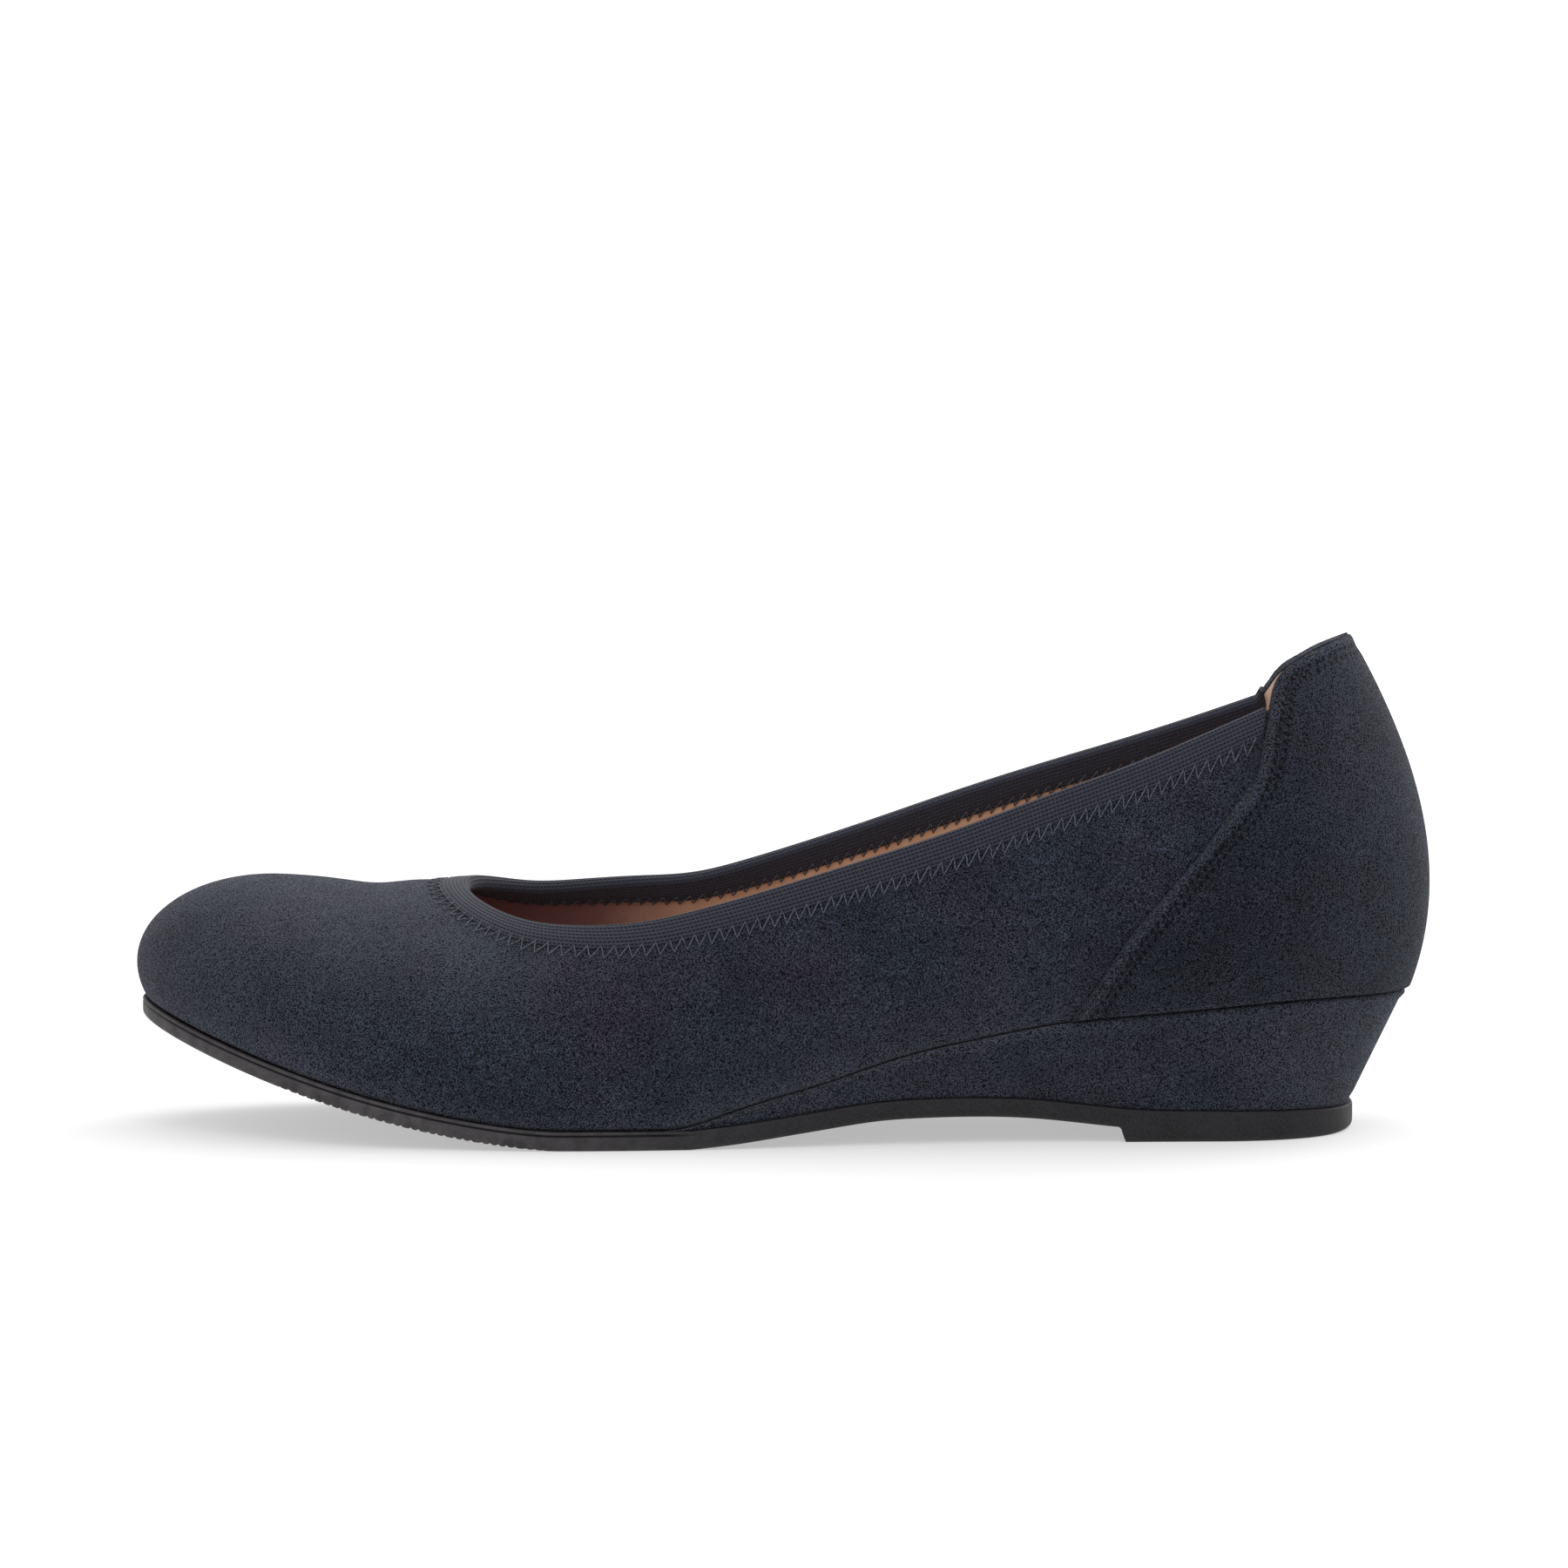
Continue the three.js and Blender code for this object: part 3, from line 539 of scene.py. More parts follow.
def throat_gap(side, way, girth):
    """How far a point lies inside the throat, which is half a superellipse in plan."""
    point = last_point(side, way, girth)
    station = point[..., 0] / SHOE_LENGTH
    half = on_side(side, *THROAT_HALF_WIDTHS)
    opening = half * round_end(station - THROAT_FRONT, THROAT_LENGTH, TOE_ROUNDNESS)
    return opening - np.abs(point[..., 1] - BALL_WIDTH * PLAN["centre"](station))


def edge_girth(side, way):
    """Girth of the upper's edge: the throat in plan, blended into the heights of the collar and the tab."""
    side, way = np.broadcast_arrays(side, way)

    def above(girth):
        point = last_point(side, way, girth)
        return point[..., 2] - collar_top(side, point[..., 0] / SHOE_LENGTH)

    in_plan = solve(lambda girth: throat_gap(side, way, girth), way.shape)
    in_height = solve(above, way.shape)
    blend = smooth_step(*COLLAR_BLEND, station_of_way(FEATHER_LINE, way))
    return np.where(way <= THROAT_WAY, 1, mix(in_plan, in_height, blend))


def ways_on_collar(stations):
    """Ways of the outer and the inner side at which the collar's edge passes a station on each."""
    sides = np.array([OUTER, INNER])
    return place_in_side_view(sides, stations, collar_top(sides, stations))[0]


TAB_WAYS = ways_on_collar(np.full(2, TAB_FRONT))
BINDING_TOP_WAYS = ways_on_collar(BINDING_ENDS)
BINDING_LOW_WAYS = ways_on_collar(BINDING_ENDS - BINDING_END_SLANT * BINDING_WIDTH / SHOE_LENGTH)


def topline_place(turn, distance):
    """Place on the topline. turn runs from -1 at the outer end over 0 at the throat to 1 at the inner end."""
    side = np.where(turn < 0, OUTER, INNER)
    share = np.maximum(distance, 0) / BINDING_WIDTH
    ends = mix(BINDING_TOP_WAYS[:, None, None], BINDING_LOW_WAYS[:, None, None], share)
    way = mix(THROAT_WAY, on_side(side, *ends), np.abs(turn) ** 1.5)
    return side, way, edge_girth(side, way)


def tab_place(turn, distance):
    """Place on the edge of the tab. turn runs from -1 at the inner corner over the peak to 1 at the outer.

    It is the same at every distance below the edge.
    """
    side = np.where(turn > 0, OUTER, INNER)
    way = mix(1, on_side(side, *TAB_WAYS), np.abs(turn))
    return side, way, edge_girth(side, way)


def walk(side, way, girth, direction, rounds=6):
    """Place reached from another by a step over the form, by rounds of steps that fall back onto it."""
    target = last_point(side, way, girth) + direction
    step = 0.001
    for _ in range(rounds):
        here = last_point(side, way, girth)
        along = (last_point(side, way + step, girth) - here) / step
        up = (last_point(side, way, girth + step) - here) / step
        miss = target - here
        aa, ab, bb = (along * along).sum(-1), (along * up).sum(-1), (up * up).sum(-1)
        am, bm = (along * miss).sum(-1), (up * miss).sum(-1)
        scale = aa * bb - ab * ab
        way = way + (am * bb - bm * ab) / scale
        girth = girth + (bm * aa - am * ab) / scale
    return side, way, girth


def band_points(place_at, turn, distance, offset):
    """Points of a band folded over an edge of the upper.

    A positive distance is walked down the form from the edge, and a negative one goes straight off it.
    """
    turn, distance, offset = np.broadcast_arrays(turn, distance, offset)
    step = 0.004
    side, way, girth = place_at(turn, distance)
    ahead = last_point(*place_at(turn + step, distance))
    behind = last_point(*place_at(turn - step, distance))
    edge = last_point(side, way, girth)
    normal = last_normal(side, way, girth)
    away = unit(np.cross(normal, unit(ahead - behind)))
    straight = edge + away * distance[..., None] + normal * offset[..., None]
    walked = offset_point(*walk(side, way, girth, away * np.maximum(distance, 0)[..., None]), offset)
    return np.where(distance[..., None] > 0, walked, straight)


def make_mesh(name, grids, attributes=None):
    """Closed mesh of loops of points.

    Each grid is (points, wrap, skip): loops of points in millimetres, whether the last loop joins the first,
    and the quads left out. Open ends are closed by one face each. Points that meet are merged, and the faces
    are turned outwards by the sign of the volume that they hold.
    """
    places, quads, caps, start = [], [], [], 0
    for points, wrap, skip in grids:
        count, ring = points.shape[:2]
        index = start + np.arange(count * ring).reshape(count, ring)
        following = np.roll(index, -1, axis=0)
        corners = [index, following, np.roll(following, -1, axis=1), np.roll(index, -1, axis=1)]
        faces = np.stack(corners, -1)
        keep = np.ones((count, ring), bool) if skip is None else ~skip
        if not wrap:
            keep = keep & (np.arange(count) < count - 1)[:, None]
            caps += [index[0].tolist(), index[-1][::-1].tolist()]
        quads += faces[keep].tolist()
        places.append(points.reshape(-1, 3))
        start += count * ring
    places = (np.concatenate(places) + [ALONG_SHIFT, ACROSS_SHIFT, 0]) * MM
    mesh = bpy.data.meshes.new(name)
    mesh.from_pydata(places.tolist(), [], quads + caps)
    for key, values in (attributes or {}).items():
        layer = mesh.attributes.new(key, "FLOAT", "POINT")
        layer.data.foreach_set("value", np.ravel(values).astype(np.float32))
    work = bmesh.new()
    work.from_mesh(mesh)
    bmesh.ops.remove_doubles(work, verts=work.verts, dist=MERGE_DISTANCE * MM)
    bmesh.ops.dissolve_degenerate(work, edges=work.edges, dist=SLIVER_LENGTH * MM)
    if work.calc_volume(signed=True) < 0:
        bmesh.ops.reverse_faces(work, faces=work.faces)
    for face in work.faces:
        face.smooth = True
    work.to_mesh(mesh)
    work.free()
    return mesh


def add_piece(name, mesh, material, nodes=()):
    """Object that rides on the shoe, stands for the given solids and takes its finish from a slot."""
    piece = bpy.data.objects.new(name, mesh)
    bpy.context.scene.collection.objects.link(piece)
    mesh.materials.append(material)
    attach(piece, "root")
    if nodes:
        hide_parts(*nodes)
    return piece


def quarter_round(radius, count):
    """Insets and rises of a quarter circle, from a level face out to an upright side, in two columns."""
    turn = np.linspace(0, np.pi / 2, count)
    return radius * (1 - np.stack([np.sin(turn), np.cos(turn)], -1))


def both_faces(outer, inner):
    """Values up the outer face and down the inner one, as the upper's loops run."""
    return np.concatenate([outer, inner[:, ::-1]], 1)


def sole_loops(rim, ways, across):
    """Loops round a sole piece. rim(side, way) gives its edge, and the top and bottom are ruled across.

    Each loop climbs the outer edge, crosses the top, comes down the inner edge and crosses the bottom.
    """
    outer, inner = rim(OUTER, ways[:, None]), rim(INNER, ways[:, None])
    share = np.linspace(0, 1, across + 1)[None, 1:-1, None]
    top = mix(outer[:, -1:], inner[:, -1:], share)
    bottom = mix(inner[:, :1], outer[:, :1], share)
    return np.concatenate([outer, top, inner[:, ::-1], bottom], 1)


# Materials

NOISE = "ShaderNodeTexNoise"
CELLS = "ShaderNodeTexVoronoi"
PLACE = "ShaderNodeTexCoord"
STRETCH = "ShaderNodeMapping"
FIELD = "ShaderNodeAttribute"
RANGE = "ShaderNodeMapRange"
MATH = "ShaderNodeMath"
BLEND = "ShaderNodeMix"
BUMP = "ShaderNodeBump"
WAVES = "ShaderNodeTexWave"

# Settings of a blend of two colours, whose share is on socket 0 and whose colours are on sockets 6 and 7
TINTS = {"output": 2, "data_type": "RGBA"}


def linear(code):
    """Linear colour of an sRGB hex value."""
    values = np.array([int(code[i : i + 2], 16) for i in (1, 3, 5)]) / 255
    values = np.where(values <= 0.04045, values / 12.92, ((values + 0.055) / 1.055) ** 2.4)
    return (*values.tolist(), 1.0)


def add(tree, kind, feeds=(), output=0, **settings):
    """Adds a node and gives back one of its outputs. Sockets in feeds are linked and other values set."""
    node = tree.nodes.new(kind)
    for key, value in settings.items():
        setattr(node, key, value)
    for key, value in dict(feeds).items():
        if isinstance(value, bpy.types.NodeSocket):
            tree.links.new(value, node.inputs[key])
        else:
            node.inputs[key].default_value = value
    return node.outputs[output]


def new_material(name, **values):
    """Material with a Principled shader, whose constant values sit on its own sockets."""
    material = bpy.data.materials.new(name)
    material.use_nodes = True
    shader = material.node_tree.nodes["Principled BSDF"]
    for key, value in values.items():
        shader.inputs[key.replace("_", " ")].default_value = value
    return material, material.node_tree, shader


def mottle(tree, width_mm, low, high, least=0.0, most=1.0, detail=2.0, stretch=(1, 1, 1)):
    """Marks of about the given width: noise on the piece's own place.

    The noise is stretched so that its values low and high become least and most.
    """
    place = add(tree, PLACE, output="Object")
    if stretch != (1, 1, 1):
        place = add(tree, STRETCH, {"Vector": place, "Scale": stretch})
    grain = {"Scale": 1 / (width_mm * MM), "Detail": detail, "Roughness": 0.6}
    marks = add(tree, NOISE, {"Vector": place, **grain})
    limits = {"From Min": low, "From Max": high, "To Min": least, "To Max": most}
    return add(tree, RANGE, {"Value": marks, **limits})


def finish_material(tree, shader, colour, layers):
    """Feeds the colour and a chain of bumps, each (height, strength, depth in millimetres)."""
    tree.links.new(colour, shader.inputs["Base Color"])
    normal = None
    for height, strength, depth in layers:
        feeds = {"Height": height, "Strength": strength, "Distance": depth * MM}
        if normal is not None:
            feeds["Normal"] = normal
        normal = add(tree, BUMP, feeds)
    tree.links.new(normal, shader.inputs["Normal"])


def dye(value):
    """Colour of a property with its alpha."""
    return (*value, 1.0)


def suede(name, colours, sizes, painted_shade_tone=1.0, holes=False):
    """Napped split leather, dyed navy and brushed.

    The nap scatters light, so it has no gloss, shines softly where it is seen edge on, and is speckled by
    fibres that lie each its own way. Brushing leaves soft patches, some bluer and some more purple, lint
    leaves a few pale specks, and edges are paler, partly from wear and partly as painted highlight where they
    catch the light. A tone below 1 darkens the dye and lowers the sheen, painted shade that makes darker
    copies.
    """
    material, tree, shader = new_material(
        name,
        Roughness=0.95,
        IOR=1.45,
        Specular_IOR_Level=0.08,
        Sheen_Roughness=0.36,
        Sheen_Tint=dye(colours.suede_sheen),
    )
    nap_mm = sizes.nap_size / MM
    fibres = mottle(tree, nap_mm, 0.43, 0.59, detail=2.0)
    shine = add(tree, RANGE, {"Value": fibres, "To Min": 0.10 * painted_shade_tone, "To Max": 0.44 * painted_shade_tone})
    tree.links.new(shine, shader.inputs["Sheen Weight"])
    tufts = mottle(tree, 2.2 * nap_mm, 0.3, 0.7)
    specks = mottle(tree, 1.4 * nap_mm, 0.735, 0.775, 0.0, 0.55, 1.0)
    # A tone below 1 darkens these patches, and the sheen above: painted shade.
    patches = mottle(tree, 14.0, 0.32, 0.68, 0.82 * painted_shade_tone, 1.2 * painted_shade_tone)
    streaks = mottle(tree, 5.0, 0.3, 0.7, 0.9, 1.1, 3.0, (0.45, 1, 1.3))
    purple = mottle(tree, 22.0, 0.40, 0.72)
    pale = {0: purple, 6: dye(colours.suede_pale), 7: dye(colours.suede_purple)}
    pale = add(tree, BLEND, pale, **TINTS)
    colour = add(tree, BLEND, {0: fibres, 6: dye(colours.suede), 7: pale}, **TINTS)
    shade = add(tree, RANGE, {"Value": tufts, "To Min": 0.86, "To Max": 1.14})
    shade = add(tree, MATH, {0: shade, 1: patches}, operation="MULTIPLY")
    shade = add(tree, MATH, {0: shade, 1: streaks}, operation="MULTIPLY")
    colour = add(tree, BLEND, {0: 1.0, 6: colour, 7: shade}, **TINTS, blend_type="MULTIPLY")
    # Paler where a piece marks it: partly wear and partly painted highlight on edges that catch the light.
    wear_and_painted_light = add(tree, FIELD, output="Fac", attribute_name="wear_and_painted_light")
    wear_and_painted_light = add(tree, MATH, {0: wear_and_painted_light, 1: fibres}, operation="MULTIPLY")
    pale = add(tree, MATH, {0: wear_and_painted_light, 1: specks}, operation="MAXIMUM")
    colour = add(tree, BLEND, {0: pale, 6: colour, 7: dye(colours.suede_wear_and_highlight)}, **TINTS)
    layers = [(tufts, 0.15, 0.3), (fibres, 0.85, 0.3)]
    if holes:
        mask = stitch_holes(tree, sizes)
        colour = add(tree, BLEND, {0: mask, 6: colour, 7: dye(colours.stitch_hole)}, **TINTS)
        solid = add(tree, MATH, {0: 1.0, 1: mask}, operation="SUBTRACT")
        layers.append((solid, 0.9, 0.5))
    finish_material(tree, shader, colour, layers)
    return material


def stitch_holes(tree, sizes):
    """Mask of two rows of short slanted stitches at their distances from the piece's edge.

    Along the edge the run is folded to each stitch's own length, and a stitch is an ellipse in it.
    """
    edge = add(tree, FIELD, output="Fac", attribute_name="edge_mm")
    run = add(tree, FIELD, output="Fac", attribute_name="run_mm")
    wobble = mottle(tree, 3.0, 0.3, 0.7, -0.15, 0.15)
    edge = add(tree, MATH, {0: edge, 1: wobble}, operation="ADD")
    pitch, first = sizes.stitch_pitch / MM, sizes.stitch_edge / MM
    rows = []
    for distance, start in ((first, 0.0), (first + sizes.stitch_rows / MM, pitch / 2)):
        off = add(tree, MATH, {0: edge, 1: distance}, operation="SUBTRACT")
        lean = add(tree, MATH, {0: off, 1: 0.55, 2: run}, operation="MULTIPLY_ADD")
        lean = add(tree, MATH, {0: lean, 1: start}, operation="ADD")
        from_middle = add(tree, MATH, {0: lean, 1: pitch / 2}, operation="PINGPONG")
        off = add(tree, MATH, {0: off, 1: off}, operation="MULTIPLY")
        from_middle = add(tree, MATH, {0: from_middle, 1: from_middle}, operation="MULTIPLY")
        square = add(tree, MATH, {0: from_middle, 1: 1.5, 2: off}, operation="MULTIPLY_ADD")
        size = add(tree, MATH, {0: square}, operation="SQRT")
        limits = {"From Min": 0.3, "From Max": 0.54, "To Min": 1.0, "To Max": 0.0}
        rows.append(add(tree, RANGE, {"Value": size, **limits}))
    return add(tree, MATH, {0: rows[0], 1: rows[1]}, operation="MAXIMUM")


def moulded_rubber(colours, sizes):
    """Moulded rubber: nearly black, satin, with the mould's fine grain, a little dust and faint scuffs at the
    bottom edge. It is painted paler towards the toe as painted light, and darker in the bead's groove as
    painted shade.

    Fine ribs cross the underside, so it looks ridged from below.
    """
    material, tree, shader = new_material("moulded_rubber", IOR=1.52, Specular_IOR_Level=0.16)
    grain = mottle(tree, 0.4, 0.35, 0.7, 0.0, 0.6, 3.0)
    dust = mottle(tree, 9.0, 0.42, 0.75, 0.0, 0.4, 4.0)
    scuffs = mottle(tree, 2.5, 0.3, 0.6, 0.35, 1.0, 5.0)
    rubber, dusty = dye(colours.rubber), dye(colours.rubber_dust)
    colour = add(tree, BLEND, {0: dust, 6: rubber, 7: dusty}, **TINTS)
    colour = add(tree, BLEND, {0: grain, 6: colour, 7: dusty}, **TINTS)
    # Paler scuffs at the bottom edge, and the same paler colour towards the toe as painted light.
    wear_and_painted_light = add(tree, FIELD, output="Fac", attribute_name="wear_and_painted_light")
    scuffed_and_lit = add(tree, MATH, {0: wear_and_painted_light, 1: scuffs}, operation="MULTIPLY")
    colour = add(tree, BLEND, {0: scuffed_and_lit, 6: colour, 7: dye(colours.rubber_scuff_and_highlight)}, **TINTS)
    gloss = add(tree, RANGE, {"Value": dust, "From Max": 0.4, "To Min": 0.55, "To Max": 0.75})
    tree.links.new(gloss, shader.inputs["Roughness"])
    # The bead's groove is painted darker: painted shade in the recess.
    groove = add(tree, FIELD, output="Fac", attribute_name="groove")
    colour = add(tree, BLEND, {0: groove, 6: colour, 7: dye(colours.stitch_hole)}, **TINTS)
    place = add(tree, PLACE, output="Object")
    bands = 2 * np.pi / (20 * sizes.tread_pitch)
    ribs = add(tree, WAVES, {"Vector": place, "Scale": bands}, 1, bands_direction="X", wave_profile="SIN")
    sole = add(tree, FIELD, output="Fac", attribute_name="underside")
    ribs = add(tree, MATH, {0: ribs, 1: sole}, operation="MULTIPLY")
    finish_material(tree, shader, colour, [(scuffs, 0.12, 0.2), (grain, 0.6, 0.15), (ribs, 0.9, 0.5)])
    return material


def knit_elastic(colours, sizes):
    """Ribbed elastic: soft black yarn over rubber cords, so fine ribs run along it.

    Between the ribs the knit leaves rows of small dots, moved by half a dot from row to row. Its colour
    follows this relief: crests are painted pale as painted highlight and the dots dark as painted shade.
    """
    material, tree, shader = new_material(
        "knit_elastic", Roughness=0.9, Specular_IOR_Level=0.1, Sheen_Weight=0.12, Sheen_Roughness=0.4
    )
    waves = []
    # Ribs, and half waves across them whose sign moves the knit by half a dot from row to row
    for field, pitch in (
        ("across_mm", sizes.rib_pitch), ("across_mm", 2 * sizes.rib_pitch), ("along_mm", sizes.knit_pitch)
    ):
        run = add(tree, FIELD, output="Fac", attribute_name=field)
        angle = add(tree, MATH, {0: run, 1: 2 * np.pi * MM / pitch}, operation="MULTIPLY")
        waves.append(add(tree, MATH, {0: angle}, operation="COSINE"))
    rib, half, knit = waves
    knit = add(tree, MATH, {0: half, 1: knit}, operation="MULTIPLY")
    rib = add(tree, RANGE, {"Value": rib, "From Min": 1.0, "From Max": -1.0})
    knit = add(tree, RANGE, {"Value": knit, "From Min": -0.1, "From Max": 0.9, "To Max": 0.85})
    # The cords lie towards the outer face, so the ribs fade out on the inner one
    run = add(tree, FIELD, output="Fac", attribute_name="across_mm")
    flat = add(tree, RANGE, {"Value": run, "From Min": -0.5, "From Max": 1.5, "To Min": 0.12, "To Max": 0.5})
    rib = add(tree, MATH, {0: rib, 1: flat}, operation="MAXIMUM")
    yarn = mottle(tree, 0.3, 0.3, 0.7, 0.45, 1.0)
    # The colour follows the relief, broken by the yarn's mottling: crests painted pale as painted highlight,
    # hollows dark as painted shade.
    height = add(tree, MATH, {0: rib, 1: knit}, operation="MAXIMUM")
    dots = add(tree, MATH, {0: height, 1: yarn}, operation="MULTIPLY")
    colour = add(tree, BLEND, {0: dots, 6: dye(colours.elastic), 7: dye(colours.elastic_rib_highlight)}, **TINTS)
    finish_material(tree, shader, colour, [(yarn, 0.3, 0.1), (height, 0.9, 0.22)])
    return material


def sewing_thread(colours):
    """Twisted polyester thread: dark, with a slight shine and a fine twist."""
    material, tree, shader = new_material("sewing_thread", Roughness=0.6, Specular_IOR_Level=0.25)
    # The real twist is 0.1 mm long, and is drawn twice as coarse so that it shows
    twist = mottle(tree, 0.2, 0.35, 0.65)
    colour = add(tree, BLEND, {0: twist, 6: dye(colours.elastic), 7: dye(colours.thread)}, **TINTS)
    finish_material(tree, shader, colour, [(twist, 0.6, 0.08)])
    return material


def lining_leather(name, colours, pores_mm):
    """Smooth lining leather: tan, with fine pores, faint veins and a soft shine where it is handled.

    It is cream inside the pull tab, and deep in the toe it is painted red-brown as painted shade.
    """
    material, tree, shader = new_material(name, IOR=1.45, Specular_IOR_Level=0.25)
    veins = mottle(tree, 8.0, 0.3, 0.72, 0.0, 0.6, 4.0)
    grain = mottle(tree, 0.5, 0.3, 0.7, detail=3.0)
    place = add(tree, PLACE, output="Object")
    pores = add(tree, CELLS, {"Vector": place, "Scale": 1 / (pores_mm * MM)})
    limits = {"From Max": 0.35, "To Min": 0.35, "To Max": 0.0}
    dots = add(tree, RANGE, {"Value": pores, **limits})
    deep = dye(colours.lining_deep)
    colour = add(tree, BLEND, {0: veins, 6: dye(colours.lining), 7: deep}, **TINTS)
    colour = add(tree, BLEND, {0: dots, 6: colour, 7: deep}, **TINTS)
    # The toe's red-brown is painted shade deep inside the shoe.
    for field, tint in (("toe", colours.lining_toe_shade), ("tab", colours.lining_pale)):
        share = add(tree, FIELD, output="Fac", attribute_name=field)
        colour = add(tree, BLEND, {0: share, 6: colour, 7: dye(tint)}, **TINTS)
    gloss = add(tree, RANGE, {"Value": veins, "From Max": 0.6, "To Min": 0.52, "To Max": 0.68})
    tree.links.new(gloss, shader.inputs["Roughness"])
    finish_material(tree, shader, colour, [(veins, 0.1, 0.6), (grain, 0.25, 0.12), (pores, 0.3, 0.12)])
    return material


# Sizes and colours that a user would change


def length(name, description, default_mm):
    """Length property with its default in millimetres."""
    return bpy.props.FloatProperty(
        name=name, description=description, default=default_mm * MM, min=0.0, precision=5,
        unit="LENGTH", subtype="DISTANCE"
    )


def hue(name, description, code):
    """Colour property with its default as an sRGB hex value."""
    return bpy.props.FloatVectorProperty(
        name=name, description=description, default=linear(code)[:3], size=3, min=0.0, max=1.0,
        subtype="COLOR"
    )


class ShoeSizes(bpy.types.PropertyGroup):
    """Sizes of the fine work on the shoe."""

    nap_size: length("Nap", "Width of the suede's fibres, a little coarser than real so that they show", 0.27)
    crease_depth: bpy.props.FloatProperty(
        name="Creases", description="Share of the full depth of the soft troughs", default=1.0, min=0.0,
        max=2.0
    )
    rib_pitch: length("Rib pitch", "Distance between the elastic's ribs", 0.75)
    knit_pitch: length("Knit pitch", "Distance between the dots along a rib", 0.8)
    zigzag_pitch: length("Zigzag pitch", "Length of one zigzag of the topline's seam", 2.5)
    zigzag_height: length("Zigzag height", "Height of the zigzag of the topline's seam", 2.7)
    thread_thickness: length("Thread", "Thickness of the sewing thread", 0.28)
    outside_band: length("Outer band", "Width of the elastic outside the shoe, up to its seam", 4.7)
    inside_band: length("Inner band", "Width of the elastic inside the shoe", 4.8)
    stitch_edge: length("Stitch edge", "Distance of the counter's first row of stitches from its edge", 2.3)
    stitch_rows: length("Stitch rows", "Distance between the counter's two rows of stitches", 1.5)
    stitch_pitch: length("Stitch pitch", "Length of one stitch of the counter", 1.7)
    bead_drop: length("Bead", "Distance of the outsole's bead line below its top edge", 0.8)
    tread_pitch: length("Tread pitch", "Distance between the tread's notches", 1.7)


class ShoeColours(bpy.types.PropertyGroup):
    """Colours of the shoe's materials and of the stage."""

    suede: hue("Suede", "Navy of the suede between its fibres", "#07090e")
    suede_pale: hue("Suede fibres", "Navy of the fibres that catch the light", "#353c4a")
    suede_purple: hue("Purple suede", "Fibres in the patches that look more purple", "#3b3847")
    # Paler suede of worn edges, also used as painted highlight on edges that catch the light
    suede_wear_and_highlight: hue("Rubbed suede", "Suede where its edges are rubbed", "#5b606e")
    suede_sheen: hue("Suede sheen", "Light on the nap where it is seen edge on", "#ccced8")
    # Also used as painted shade in the outsole's bead groove
    stitch_hole: hue("Stitch holes", "Dark of the stitch holes", "#05060a")
    rubber: hue("Rubber", "Black of the outsole", "#131214")
    rubber_dust: hue("Rubber dust", "Dust in the outsole's grain", "#302e31")
    # Paler rubber of the scuffs, also used as painted light towards the toe
    rubber_scuff_and_highlight: hue("Rubber scuffs", "Pale scuffs at the outsole's edge", "#4d4a4c")
    elastic: hue("Elastic", "Black between the elastic's ribs", "#0f1015")
    # Pale of the rib crests: painted highlight
    elastic_rib_highlight: hue("Elastic ribs", "Light on the elastic's ribs", "#41424e")
    thread: hue("Thread", "Sewing thread", "#62646f")
    lining: hue("Lining", "Tan of the lining leather", "#c2a088")
    lining_deep: hue("Lining veins", "Darker tan in the lining's veins and pores", "#a27a60")
    # Painted shade deep in the toe
    lining_toe_shade: hue("Toe lining", "Red-brown of the lining in the toe", "#6c4b50")
    lining_pale: hue("Pale lining", "Cream of the lining inside the pull tab", "#e6d2c0")
    stage: hue("Stage", "Pale floor and backdrop", "#f4f4f4")


def settings():
    """The scene's sizes and colours."""
    return bpy.context.scene.shoe_sizes, bpy.context.scene.shoe_colours


# Pieces


